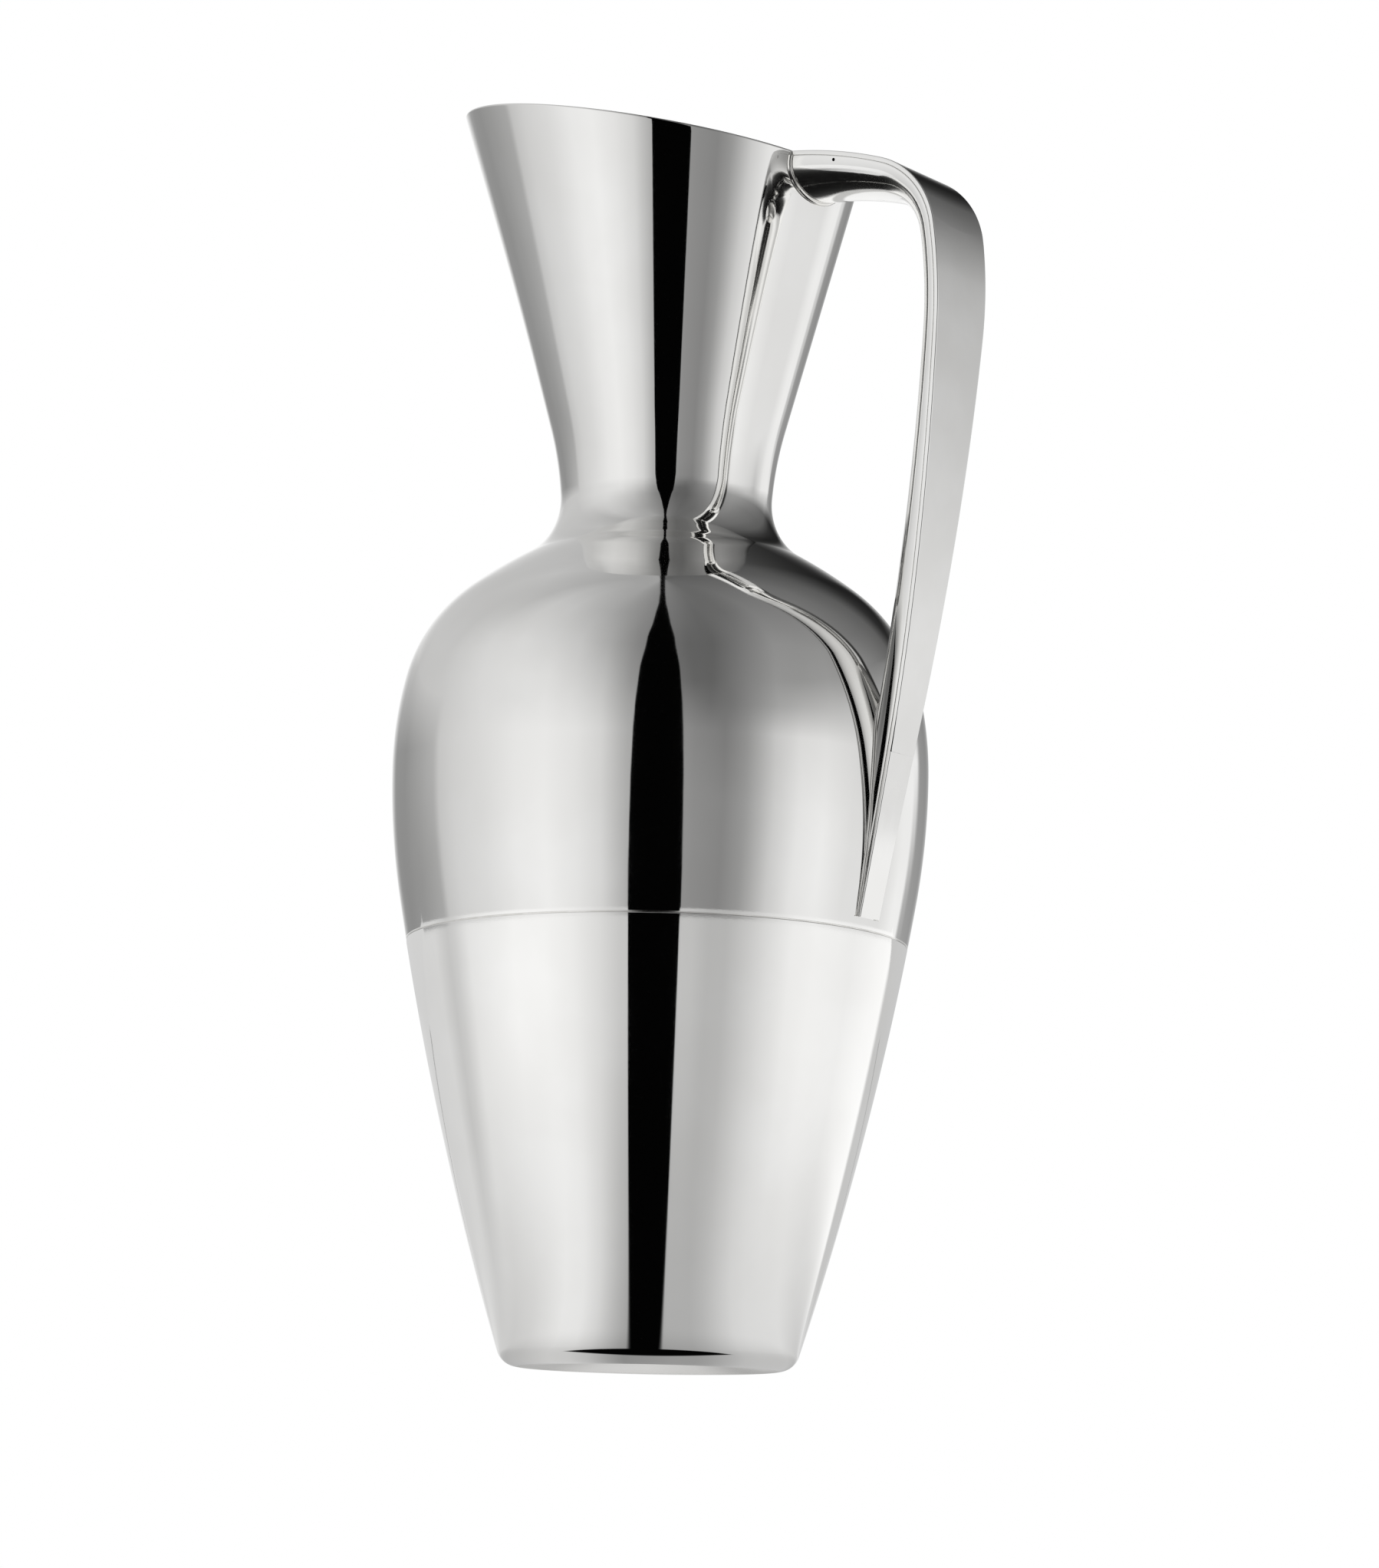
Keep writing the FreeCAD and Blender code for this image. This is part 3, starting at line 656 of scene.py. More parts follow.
def collar_piece(name, crossing_of, radius, material):
    """Bead of solder along the line where the handle's outside meets the body."""
    path = [handle_point(line, crossing_of(line, 0.0)) for line in collar_lines()]
    sides = 14
    end_size, growth = 0.35, 0.22
    points = []
    for number, here in enumerate(path):
        before, after = path[max(0, number - 1)], path[min(len(path) - 1, number + 1)]
        along = (after - before).normalized()
        outwards = skin_normal(here)
        outwards = (outwards - along * outwards.dot(along)).normalized()
        beside = along.cross(outwards)
        from_end = min(number, len(path) - 1 - number)
        size = radius * min(1.0, end_size + growth * from_end)
        for side in range(sides):
            turn = 2.0 * math.pi * side / sides
            points.append(here + (outwards * math.cos(turn) + beside * math.sin(turn)) * size)
    faces = faces_between(len(path), sides)
    last = (len(path) - 1) * sides
    faces.append(tuple(range(sides)))
    faces.append(tuple(reversed(range(last, last + sides))))
    return finish_mesh(name, points, faces, [material])


def make_root_collar(material):
    piece = collar_piece("root_solder_bead", root_crossing, ROOT_COLLAR_RADIUS, material)
    return stand_for(piece, "handle_root_collar")


def make_foot_collar(material):
    piece = collar_piece("foot_solder_bead", foot_crossing, FOOT_COLLAR_RADIUS, material)
    return stand_for(piece, "handle_foot_collar")


# ------------------------------------------------------------------ materials


class Graph:
    """Short hand for building a node tree."""

    def __init__(self, tree):
        self.tree = tree
        tree.nodes.clear()

    def node(self, kind, inputs=None, **settings):
        made = self.tree.nodes.new(kind)
        for key, value in settings.items():
            setattr(made, key, value)
        for key, value in (inputs or {}).items():
            self.join(value, made.inputs[key])
        return made

    def join(self, value, socket):
        if isinstance(value, bpy.types.NodeSocket):
            self.tree.links.new(value, socket)
        else:
            socket.default_value = value

    def math(self, operation, *values):
        return self.node("ShaderNodeMath", dict(enumerate(values)), operation=operation).outputs[0]

    def smooth(self, value, low, high, out_low=0.0, out_high=1.0):
        made = self.node(
            "ShaderNodeMapRange",
            {"Value": value, "From Min": low, "From Max": high, "To Min": out_low, "To Max": out_high},
            interpolation_type="SMOOTHSTEP",
        )
        return made.outputs[0]

    def ramp(self, value, stops, interpolation="LINEAR"):
        """Grey ramp; stops are (place from 0 to 1, value)."""
        made = self.node("ShaderNodeValToRGB", {"Fac": value})
        band = made.color_ramp
        band.interpolation = interpolation
        while len(band.elements) < len(stops):
            band.elements.new(1.0)
        for element, (place, level) in zip(band.elements, sorted(stops)):
            element.position = place
            element.color = (level, level, level, 1.0)
        return made.outputs[0]

    def noise(self, scale, detail, stretch=(1.0, 1.0, 1.0), roughness=0.5):
        """Noise in the object's own metres, stretched along its axes."""
        place = self.node("ShaderNodeTexCoord").outputs["Object"]
        mapped = self.node("ShaderNodeMapping", {"Vector": place, "Scale": stretch}).outputs[0]
        inputs = {"Vector": mapped, "Scale": scale, "Detail": detail, "Roughness": roughness}
        return self.node("ShaderNodeTexNoise", inputs).outputs[0]

    def tint(self, factor, dark, light):
        made = self.node("ShaderNodeMix", data_type="RGBA")
        self.join(factor, made.inputs[0])
        self.join((*dark, 1.0), made.inputs[6])
        self.join((*light, 1.0), made.inputs[7])
        return made.outputs[2]


def new_material(name):
    material = bpy.data.materials.new(name)
    material.use_nodes = True
    return material, Graph(material.node_tree)


def metal(name, dark, light, rough, haze, lines, wave):
    """Worked silver: hazy tint, uneven polish, fine rubbing lines and a raised wave.

    rough is (least, most); lines is (scale, stretch, depth in mm); wave is
    (scale, depth in mm).
    """
    material, graph = new_material(name)
    cloud = graph.noise(haze, 4.0)
    rubbing = graph.noise(lines[0], 3.0, lines[1], 0.6)
    colour = graph.tint(graph.smooth(cloud, 0.35, 0.7), dark, light)
    polish = graph.math("MULTIPLY_ADD", rubbing, 0.5, graph.math("MULTIPLY", cloud, 0.5))
    roughness = graph.smooth(polish, 0.3, 0.7, rough[0], rough[1])
    raised = graph.noise(wave[0], 1.0)
    height = graph.math(
        "ADD", graph.math("MULTIPLY", raised, wave[1]), graph.math("MULTIPLY", rubbing, lines[2])
    )
    bump = graph.node(
        "ShaderNodeBump", {"Height": height, "Distance": MM, "Strength": 1.0}
    ).outputs[0]
    shader = graph.node(
        "ShaderNodeBsdfPrincipled",
        {"Base Color": colour, "Metallic": 1.0, "Roughness": roughness, "Normal": bump},
    )
    graph.node("ShaderNodeOutputMaterial", {"Surface": shader.outputs[0]})
    return material


def polished_silver():
    return metal(
        "polished_silver",
        dark=(0.93, 0.925, 0.91),
        light=(0.965, 0.962, 0.95),
        rough=(0.02, 0.05),
        haze=38.0,
        lines=(900.0, (1.0, 1.0, 6.0), 0.0006),
        wave=(26.0, 0.005),
    )


def buffed_silver():
    return metal(
        "buffed_silver",
        dark=(0.92, 0.915, 0.90),
        light=(0.96, 0.957, 0.945),
        rough=(0.035, 0.085),
        haze=60.0,
        lines=(60.0, (1.0, 40.0, 1.0), 0.0012),
        wave=(45.0, 0.006),
    )


def satin_inside():
    return metal(
        "satin_inside",
        dark=(0.86, 0.85, 0.82),
        light=(0.93, 0.92, 0.90),
        rough=(0.16, 0.30),
        haze=30.0,
        lines=(40.0, (1.0, 1.0, 30.0), 0.003),
        wave=(30.0, 0.010),
    )


def hard_solder():
    return metal(
        "hard_solder",
        dark=(0.78, 0.77, 0.74),
        light=(0.90, 0.89, 0.87),
        rough=(0.07, 0.16),
        haze=260.0,
        lines=(1100.0, (1.0, 1.0, 1.0), 0.0012),
        wave=(300.0, 0.006),
    )


# ------------------------------------------------------------ camera and light

CAMERA_AZIMUTH = math.radians(36.33)
CAMERA_DISTANCE = 1108.0
CAMERA_HEIGHT = -45.7
CAMERA_HEADING = math.radians(35.97)
CAMERA_PITCH = math.radians(9.43)
CAMERA_ROLL = math.radians(1.17)
LENS_OVER_LONG_SIDE = 6159.0 / 2044.0

CAMERA_PLACE = Vector(
    (
        CAMERA_DISTANCE * math.sin(CAMERA_AZIMUTH),
        -CAMERA_DISTANCE * math.cos(CAMERA_AZIMUTH),
        CAMERA_HEIGHT,
    )
)
CAMERA_SIDE = CAMERA_AZIMUTH - math.pi / 2.0


def make_camera():
    """Long lens, a little below the foot, looking slightly up."""
    forward = Vector(
        (
            -math.sin(CAMERA_HEADING) * math.cos(CAMERA_PITCH),
            math.cos(CAMERA_HEADING) * math.cos(CAMERA_PITCH),
            math.sin(CAMERA_PITCH),
        )
    )
    level = Vector((math.cos(CAMERA_HEADING), math.sin(CAMERA_HEADING), 0.0))
    upright = level.cross(forward)
    right = level * math.cos(CAMERA_ROLL) + upright * math.sin(CAMERA_ROLL)
    up = upright * math.cos(CAMERA_ROLL) - level * math.sin(CAMERA_ROLL)
    data = bpy.data.cameras.new("camera")
    data.sensor_fit = "AUTO"
    data.sensor_width = 36.0
    data.lens = data.sensor_width * LENS_OVER_LONG_SIDE
    data.clip_start, data.clip_end = 0.05, 50.0
    camera = bpy.data.objects.new("camera", data)
    bpy.context.scene.collection.objects.link(camera)
    camera.matrix_world = Matrix(
        (
            (right.x, up.x, -forward.x, CAMERA_PLACE.x * MM),
            (right.y, up.y, -forward.y, CAMERA_PLACE.y * MM),
            (right.z, up.z, -forward.z, CAMERA_PLACE.z * MM),
            (0.0, 0.0, 0.0, 1.0),
        )
    )
    bpy.context.scene.camera = camera


def azimuth_stops(tones):
    """Ramp stops from (degrees to the right of the camera's side, tone)."""
    return [(0.5 + degrees / 360.0, tone) for degrees, tone in tones]


# The numbers from here down to SHELF_TONES began as readings of the photo. A script that
# isn't handed in printed the photo's brightness against the direction that each point of
# the silver reflects. They were listed from those readings, then changed to bring renders
# closer.
# This one is the tone of the tent, from 0 black to 1 white, by height above the horizon
# and by direction, in degrees to the right of the side where the camera stands.
TENT_BANDS = (
    (0.0, (
        (-180, 0.95), (-172, 0.93), (-167, 0.70), (-159, 0.56), (-148, 0.54), (-128, 0.58),
        (-112, 0.65), (-108, 0.76), (-98, 0.81), (-81, 0.85), (-64, 0.91), (-50, 0.93),
        (-36, 0.89), (-25, 0.83), (-14, 0.68), (14, 0.55), (27, 0.52), (36, 0.59),
        (49, 0.79), (61, 0.89), (74, 0.92), (90, 0.87), (118, 0.87), (130, 0.93),
        (138, 0.93), (141, 0.62), (161, 0.61), (167, 0.72), (173, 0.86), (180, 0.95),
    )),
    (10.0, (
        (-180, 0.97), (-171, 0.96), (-163, 0.76), (-156, 0.57), (-140, 0.56), (-124, 0.64),
        (-113, 0.70), (-109, 0.78), (-98, 0.82), (-82, 0.86), (-64, 0.91), (-50, 0.92),
        (-36, 0.89), (-25, 0.83), (-14, 0.67), (14, 0.52), (27, 0.48), (36, 0.57),
        (49, 0.77), (61, 0.86), (74, 0.88), (90, 0.85), (102, 0.80), (109, 0.73),
        (116, 0.82), (124, 0.91), (143, 0.92), (147, 0.57), (160, 0.55), (166, 0.62),
        (173, 0.77), (180, 0.92),
    )),
    (18.0, (
        (-180, 0.95), (-172, 0.94), (-161, 0.84), (-148, 0.75), (-112, 0.78), (-84, 0.85),
        (-52, 0.89), (-39, 0.86), (-26, 0.79), (-15, 0.64), (15, 0.45), (21, 0.42),
        (30, 0.45), (39, 0.53), (52, 0.64), (64, 0.69), (78, 0.72), (98, 0.73),
        (112, 0.68), (124, 0.72), (138, 0.72), (148, 0.58), (157, 0.47), (165, 0.53), (173, 0.67),
        (180, 0.90),
    )),
    (25.0, (
        (-180, 0.84), (-170, 0.82), (-160, 0.77), (-118, 0.77), (-90, 0.84), (-70, 0.87),
        (-52, 0.87), (-39, 0.82), (-26, 0.74), (-14, 0.58), (14, 0.39), (22, 0.38),
        (40, 0.51), (52, 0.58), (65, 0.58), (80, 0.60), (92, 0.58), (112, 0.50),
        (124, 0.45), (138, 0.38), (150, 0.16), (164, 0.12), (171, 0.45), (180, 0.80),
    )),
    (36.0, (
        (-180, 0.66), (-170, 0.74), (-155, 0.75), (-118, 0.76), (-92, 0.82), (-73, 0.84),
        (-55, 0.81), (-40, 0.76), (-26, 0.66), (-12, 0.52), (12, 0.38), (24, 0.37),
        (42, 0.48), (55, 0.55), (82, 0.55), (106, 0.46), (120, 0.42), (138, 0.36),
        (150, 0.20), (160, 0.12), (176, 0.22), (180, 0.30),
    )),
    (58.0, (
        (-180, 0.58), (-160, 0.70), (-140, 0.74), (-100, 0.71), (-80, 0.77), (-62, 0.75),
        (-35, 0.65), (-15, 0.55), (0, 0.47), (20, 0.39), (40, 0.41), (60, 0.48), (82, 0.48),
        (118, 0.42), (140, 0.34), (165, 0.29), (180, 0.34),
    )),
    (84.0, (
        (-180, 0.45), (-150, 0.62), (-30, 0.62), (0, 0.50), (30, 0.40), (150, 0.36), (180, 0.40),
    )),
)
# half width of the dark slit, from the horizon in front over the top to the back
SLIT_WIDTHS = (
    (-90, 0.20), (-13, 0.20), (3, 0.19), (19, 0.164), (30, 0.134), (36, 0.10), (49, 0.056),
    (66, 0.020), (76, 0.012), (90, 0.010), (130, 0.008), (150, 0.006), (162, 0.0), (180, 0.0),
)
# tone of the light table close to the pitcher and at its far edge
TABLE_NEAR_TONES = (
    (-180, 0.94), (-150, 0.91), (-135, 0.86), (-122, 0.81), (-85, 0.79), (-67, 0.82),
    (-56, 0.86), (-45, 0.90), (-34, 0.89), (-25, 0.82), (-17, 0.71), (-10, 0.62), (10, 0.67),
    (20, 0.67), (26, 0.70), (34, 0.76), (43, 0.82), (52, 0.84), (80, 0.85), (95, 0.81),
    (110, 0.78), (122, 0.77), (132, 0.81), (150, 0.90), (180, 0.94),
)
TABLE_FAR_TONES = (
    (-180, 0.96), (-169, 0.93), (-161, 0.85), (-152, 0.81), (-122, 0.83), (-110, 0.77),
    (-104, 0.80), (-94, 0.89), (-82, 0.92), (-66, 0.96), (-50, 0.96), (-37, 0.93),
    (-25, 0.86), (-15, 0.78), (15, 0.75), (22, 0.71), (30, 0.71), (38, 0.77), (50, 0.86),
    (62, 0.93), (75, 0.95), (100, 0.93), (122, 0.97), (137, 0.99), (141, 0.77),
    (160, 0.77), (169, 0.89), (180, 0.96),
)
# tone of the light shelf, seen from below
SHELF_TONES = (
    (-180, 0.95), (-171, 0.93), (-163, 0.84), (-150, 0.81), (-60, 0.82), (0, 0.80), (60, 0.77),
    (158, 0.77), (166, 0.80), (172, 0.88), (180, 0.95),
)
# share of the light that silver gives back
SILVER_SHINE = 0.95
TENT_RADIUS = 30000.0
TENT_CENTRE = 120.0
WIDEST_SLIT = 0.25
SLIT_LEAN = 0.09
SLIT_SHIFT = 0.007
SLIT_SOFTNESS = 0.003
# table, shelf and floor, in mm
FAR_EDGE = 27000.0
TABLE_HEIGHT = -0.2
SHELF_GAP = 0.6
# painted-shade card round the belly: rings of (radius, height), and the way it is shown towards
CARD_RINGS = ((64.5, 140.0), (300.0, 111.0))
CARD_HEADING = math.radians(-30.0)
FLOOR_RADIUS = 3500.0
FLOOR_HEIGHT = -0.1


def stage_mesh(name, points, faces, material):
    mesh = bpy.data.meshes.new(name)
    mesh.from_pydata([tuple(c * MM for c in point) for point in points], [], faces)
    mesh.materials.append(material)
    thing = bpy.data.objects.new(name, mesh)
    bpy.context.scene.collection.objects.link(thing)
    return thing


def only_in_reflections(thing):
    thing.visible_camera = False
    thing.visible_diffuse = False
    thing.visible_shadow = False


def give_surface(material, graph, shader):
    """Set a stage material's surface, with its light left to the rays that reach it."""
    graph.node("ShaderNodeOutputMaterial", {"Surface": shader})
    material.cycles.emission_sampling = "NONE"
    return material


def lit(graph, tone):
    """Emission whose reflection in silver shows as the tone."""
    lifted = graph.math("DIVIDE", graph.math("ADD", tone, 0.055), 1.055)
    light = graph.math("DIVIDE", graph.math("POWER", lifted, 2.4), SILVER_SHINE)
    return graph.node("ShaderNodeEmission", {"Strength": light}).outputs[0]


def towards_camera(graph, centre):
    """Place relative to a centre: X towards the camera's side, Y to its right."""
    place = graph.node("ShaderNodeNewGeometry").outputs["Position"]
    moved = graph.node("ShaderNodeVectorMath", {0: place, 1: centre}, operation="SUBTRACT").outputs[0]
    turned = graph.node(
        "ShaderNodeVectorRotate", {"Vector": moved, "Angle": -CAMERA_SIDE}, rotation_type="Z_AXIS"
    ).outputs[0]
    return graph.node("ShaderNodeSeparateXYZ", {0: turned}).outputs


def full_turn(graph, y, x):
    """Angle of (x, y) as a share of a turn, a half straight ahead."""
    return graph.math("MULTIPLY_ADD", graph.math("ARCTAN2", y, x), 0.5 / math.pi, 0.5)


def dark_outside(graph, offset, half_width, softness):
    """0 inside a strip of a half width, 1 outside it."""
    beyond = graph.math("SUBTRACT", graph.math("ABSOLUTE", offset), half_width)
    return graph.smooth(beyond, -softness, softness)


def tent_tone(graph, right, ahead, up):
    """Tone of the tent, blended upwards from band to band."""
    turn = full_turn(graph, right, ahead)
    height = graph.math("ARCSINE", up)
    tone = graph.ramp(turn, azimuth_stops(TENT_BANDS[0][1]))
    for (low, _), (high, tones) in zip(TENT_BANDS, TENT_BANDS[1:]):
        share = graph.node(
            "ShaderNodeMapRange",
            {"Value": height, "From Min": math.radians(low), "From Max": math.radians(high)},
        ).outputs[0]
        band = graph.ramp(turn, azimuth_stops(tones))
        tone = graph.math("MULTIPLY_ADD", graph.math("SUBTRACT", band, tone), share, tone)
    return tone


def tent_material():
    material, graph = new_material("tent")
    ahead, right, up = towards_camera(graph, (0.0, 0.0, TENT_CENTRE * MM))
    scale = 1.0 / (TENT_RADIUS * MM)
    ahead, right, up = [graph.math("MULTIPLY", part, scale) for part in (ahead, right, up)]
    tone = tent_tone(graph, right, ahead, up)
    widths = [(0.5 + degrees / 360.0, width / WIDEST_SLIT) for degrees, width in SLIT_WIDTHS]
    widths = [(0.0, 0.0), (0.249, 0.0)] + widths
    half_width = graph.math("MULTIPLY", graph.ramp(full_turn(graph, up, ahead), widths), WIDEST_SLIT)
    leaning = graph.math("MULTIPLY_ADD", half_width, SLIT_LEAN, right)
    centred = graph.math("ADD", leaning, SLIT_SHIFT)
    slit = dark_outside(graph, centred, half_width, SLIT_SOFTNESS)
    return give_surface(material, graph, lit(graph, graph.math("MULTIPLY", tone, slit)))


def make_tent():
    """Light tent all round, seen only in reflections and as soft light."""
    rings, around = 24, 48
    points = []
    for ring in range(1, rings):
        tilt = math.pi * ring / rings
        for step in range(around):
            turn = 2.0 * math.pi * step / around
            points.append(
                (
                    TENT_RADIUS * math.sin(tilt) * math.cos(turn),
                    TENT_RADIUS * math.sin(tilt) * math.sin(turn),
                    TENT_CENTRE + TENT_RADIUS * math.cos(tilt),
                )
            )
    faces = faces_between(rings - 1, around)
    for ring, height in ((0, TENT_RADIUS), (rings - 2, -TENT_RADIUS)):
        points.append((0.0, 0.0, TENT_CENTRE + height))
        for step in range(around):
            faces.append((ring * around + step, ring * around + (step + 1) % around, len(points) - 1))
    tent = stage_mesh("light_tent", points, faces, tent_material())
    tent.visible_camera = False
    tent.visible_shadow = False


def table_outline():
    """Edge of the light table: where the seam, seen from the camera, mirrors it."""
    radius = radius_at(SEAM_HEIGHT)
    slope = arc_slope(ARCS[0], SEAM_HEIGHT)
    edge = []
    for step in range(-86, 87):
        turn = CAMERA_SIDE + math.radians(step)
        place = Vector((radius * math.cos(turn), radius * math.sin(turn), SEAM_HEIGHT))
        normal = Vector(
            (math.cos(slope) * math.cos(turn), math.cos(slope) * math.sin(turn), -math.sin(slope))
        )
        ray = (place - CAMERA_PLACE).normalized()
        ray = ray - normal * 2.0 * ray.dot(normal)
        if ray.dot(normal) <= 0.0:
            continue
        away = FAR_EDGE if ray.z >= 0.0 else min(FAR_EDGE, -place.z / ray.z)
        hit = place + ray * away
        reach = min(FAR_EDGE, math.hypot(hit.x, hit.y))
        swing = math.atan2(hit.y, hit.x)
        edge.append((reach, swing))
    return edge


def table_shade(graph, ahead, right, reach, turn):
    """Dark wedge running out towards the camera, and a painted contact shadow of the foot: a dark lens
    under the foot's edge.
    """
    wedge_start, wedge_spread, wedge_lean, wedge_soft = 0.016, 0.2, 0.028, 0.001
    # painted contact shadow of the foot: where its dark lens lies, how wide, how far round and how soft
    foot_shadow_reach, foot_shadow_half_width, foot_shadow_half_angle, foot_shadow_soft = 0.0365, 0.0021, 36.0, 0.0003
    under_foot = (0.0352, 0.0358)
    wedge_width = graph.math("MULTIPLY", graph.math("SUBTRACT", ahead, wedge_start), wedge_spread)
    sideways = graph.math("MULTIPLY_ADD", ahead, wedge_lean, right)
    wedge = dark_outside(graph, sideways, wedge_width, wedge_soft)
    wedge = graph.math("MAXIMUM", wedge, graph.smooth(reach, *under_foot, 1.0, 0.0))
    # painted shadow under the foot's edge: a dark lens on the camera side, narrowing to either side
    swing = graph.math("MULTIPLY", graph.math("SUBTRACT", turn, 0.5), 360.0 / foot_shadow_half_angle)
    taper = graph.math("SUBTRACT", 1.0, graph.math("MULTIPLY", swing, swing))
    foot_shadow_width = graph.math("MULTIPLY", graph.math("MAXIMUM", taper, -1.0), foot_shadow_half_width)
    lens = dark_outside(graph, graph.math("SUBTRACT", reach, foot_shadow_reach), foot_shadow_width, foot_shadow_soft)
    return graph.math("MULTIPLY", wedge, lens)


def table_material():
    """Light top, shaded from its near tones to its far ones, with painted shade making it darker right by
    the foot.
    """
    near_and_far, painted_foot_shade = (0.045, 0.40), (0.034, 0.050, 0.88, 1.0)
    material, graph = new_material("table")
    ahead, right, _ = towards_camera(graph, (0.0, 0.0, 0.0))
    squares = [graph.math("MULTIPLY", part, part) for part in (ahead, right)]
    reach = graph.math("SQRT", graph.math("ADD", *squares))
    turn = full_turn(graph, right, ahead)
    near = graph.ramp(turn, azimuth_stops(TABLE_NEAR_TONES))
    far = graph.ramp(turn, azimuth_stops(TABLE_FAR_TONES))
    outwards = graph.math("SQRT", graph.smooth(reach, *near_and_far))
    tone = graph.math("MULTIPLY_ADD", graph.math("SUBTRACT", far, near), outwards, near)
    # painted contact shadow: the top is darker right by the foot
    tone = graph.math("MULTIPLY", tone, graph.smooth(reach, *painted_foot_shade))
    shown = graph.math("MULTIPLY", tone, table_shade(graph, ahead, right, reach, turn))
    return give_surface(material, graph, lit(graph, shown))


def make_table():
    """Light table top round the foot, turned up where it runs far off; seen only in reflections."""
    edge = table_outline()
    points = [(0.0, 0.0, TABLE_HEIGHT)]
    points += [(reach * math.cos(swing), reach * math.sin(swing), TABLE_HEIGHT) for reach, swing in edge]
    faces = [(0, here, here + 1) for here in range(1, len(edge))]
    faces.append((0, len(edge), 1))
    points += [(x, y, SEAM_HEIGHT) for x, y, _ in points[1:]]
    for here in range(len(edge)):
        after = (here + 1) % len(edge)
        if max(edge[here][0], edge[after][0]) > FAR_EDGE - 1.0:
            faces.append((here + 1, after + 1, after + 1 + len(edge), here + 1 + len(edge)))
    only_in_reflections(stage_mesh("light_table", points, faces, table_material()))


def one_sided(graph, shader):
    """The shader seen from the front of a face, and nothing seen from behind."""
    behind = graph.node("ShaderNodeNewGeometry").outputs["Backfacing"]
    clear = graph.node("ShaderNodeBsdfTransparent").outputs[0]
    return graph.node("ShaderNodeMixShader", {0: behind, 1: shader, 2: clear}).outputs[0]


def ring_card(name, rings, material, face_up):
    """Card lying round the pitcher through rings of (radius, height), out from the middle."""
    around = 96
    points = []
    for radius, height in rings:
        for step in range(around):
            turn = 2.0 * math.pi * step / around
            points.append((radius * math.cos(turn), radius * math.sin(turn), height))
    faces = faces_between(len(rings), around)
    if face_up:
        faces = [tuple(reversed(face)) for face in faces]
    only_in_reflections(stage_mesh(name, points, faces, material))


def make_shelf():
    """Light card level with the seam; only the cup below it sees its underside."""
    material, graph = new_material("shelf")
    ahead, right, _ = towards_camera(graph, (0.0, 0.0, 0.0))
    tone = graph.ramp(full_turn(graph, right, ahead), azimuth_stops(SHELF_TONES))
    give_surface(material, graph, one_sided(graph, lit(graph, tone)))
    inner = radius_at(SEAM_HEIGHT) + SHELF_GAP
    ring_card("light_shelf", ((inner, SEAM_HEIGHT), (FAR_EDGE, SEAM_HEIGHT)), material, False)


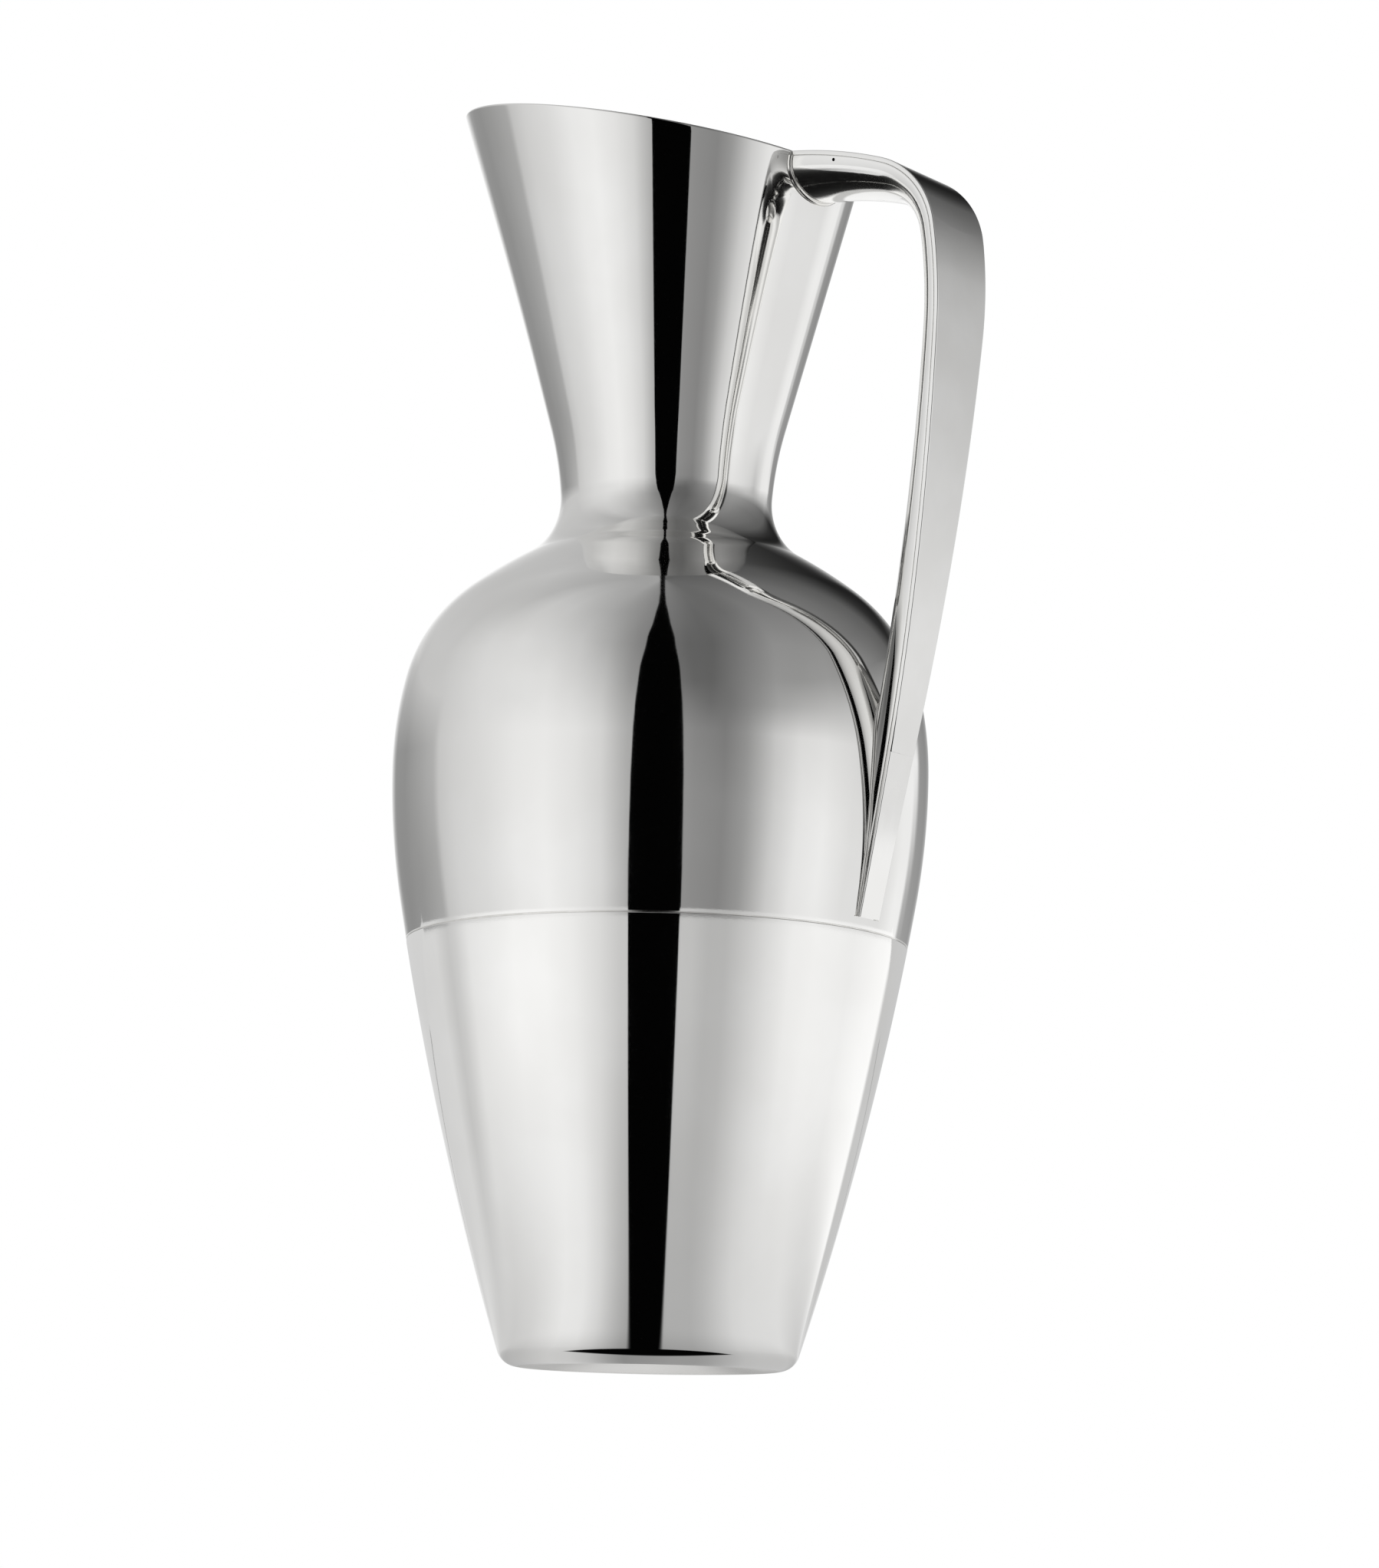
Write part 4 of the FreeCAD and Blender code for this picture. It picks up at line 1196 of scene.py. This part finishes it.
def make_painted_shade_card():
    """Soft-edged dark card about the belly, falling outwards, as painted shade: the handle's hollow sees
    it and shows dark.
    """
    side_fade, far_fade = (-0.45, -0.15), (0.16, 0.28)
    # painted shade: near black close to the belly, a little lighter further out
    near, far, near_tone, far_tone = 0.07, 0.20, 0.08, 0.28
    material, graph = new_material("painted_shade_card")
    place = graph.node("ShaderNodeNewGeometry").outputs["Position"]
    apart = graph.node("ShaderNodeSeparateXYZ", {0: place}).outputs
    level = graph.node("ShaderNodeCombineXYZ", {0: apart[0], 1: apart[1]}).outputs[0]
    reach = graph.node("ShaderNodeVectorMath", {0: level}, operation="LENGTH").outputs["Value"]
    facing = graph.node("ShaderNodeVectorMath", {0: level}, operation="NORMALIZE").outputs[0]
    towards = (math.cos(CARD_HEADING), math.sin(CARD_HEADING), 0.0)
    lined_up = graph.node(
        "ShaderNodeVectorMath", {0: facing, 1: towards}, operation="DOT_PRODUCT"
    ).outputs["Value"]
    shown = graph.smooth(lined_up, *side_fade)
    shown = graph.math("MULTIPLY", shown, graph.smooth(reach, *far_fade, 1.0, 0.0))
    tone = graph.smooth(reach, near, far, near_tone, far_tone)
    clear = graph.node("ShaderNodeBsdfTransparent").outputs[0]
    shader = graph.node("ShaderNodeMixShader", {0: shown, 1: clear, 2: lit(graph, tone)}).outputs[0]
    give_surface(material, graph, one_sided(graph, shader))
    ring_card("painted_shade_card", CARD_RINGS, material, True)


def make_floor():
    """Plain pale floor, clear from below; its soft shadow fades into plain light."""
    fade_start, fade_end, least_glow = 0.15, 0.9, 0.55
    material, graph = new_material("floor")
    place = graph.node("ShaderNodeNewGeometry").outputs["Position"]
    reach = graph.node("ShaderNodeVectorMath", {0: place}, operation="LENGTH").outputs["Value"]
    paper = graph.node("ShaderNodeBsdfDiffuse", {"Color": (0.93, 0.93, 0.93, 1.0)}).outputs[0]
    glow = graph.node("ShaderNodeEmission", {"Strength": 1.0}).outputs[0]
    far_off = graph.smooth(reach, fade_start, fade_end, least_glow, 1.0)
    top = graph.node("ShaderNodeMixShader", {0: far_off, 1: paper, 2: glow}).outputs[0]
    give_surface(material, graph, one_sided(graph, top))
    around = 64
    turns = [2.0 * math.pi * step / around for step in range(around)]
    points = [(FLOOR_RADIUS * math.cos(a), FLOOR_RADIUS * math.sin(a), FLOOR_HEIGHT) for a in turns]
    floor = stage_mesh("floor", points, [tuple(range(around))], material)
    floor.visible_glossy = False
    floor.visible_shadow = False


def make_world():
    scene = bpy.context.scene
    world = bpy.data.worlds.new("white")
    world.use_nodes = True
    graph = Graph(world.node_tree)
    background = graph.node("ShaderNodeBackground", {"Color": (1.0, 1.0, 1.0, 1.0)}).outputs[0]
    graph.node("ShaderNodeOutputWorld", {"Surface": background})
    scene.world = world
    scene.view_settings.view_transform = "Standard"
    scene.view_settings.look = "None"


# ------------------------------------------------------------------- assembly

polished, buffed, satin, solder = polished_silver(), buffed_silver(), satin_inside(), hard_solder()
make_lower_body(polished, satin)
make_upper_body(polished, satin)
make_seam_solder(solder)
make_handle_plate(buffed)
make_handle_shell(buffed)
make_root_collar(solder)
make_foot_collar(solder)

lap_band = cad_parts["seam_lap_band"]
lap_band.data.materials.clear()
lap_band.data.materials.append(satin)

make_tent()
make_table()
make_shelf()
make_painted_shade_card()
make_floor()
make_world()
make_camera()
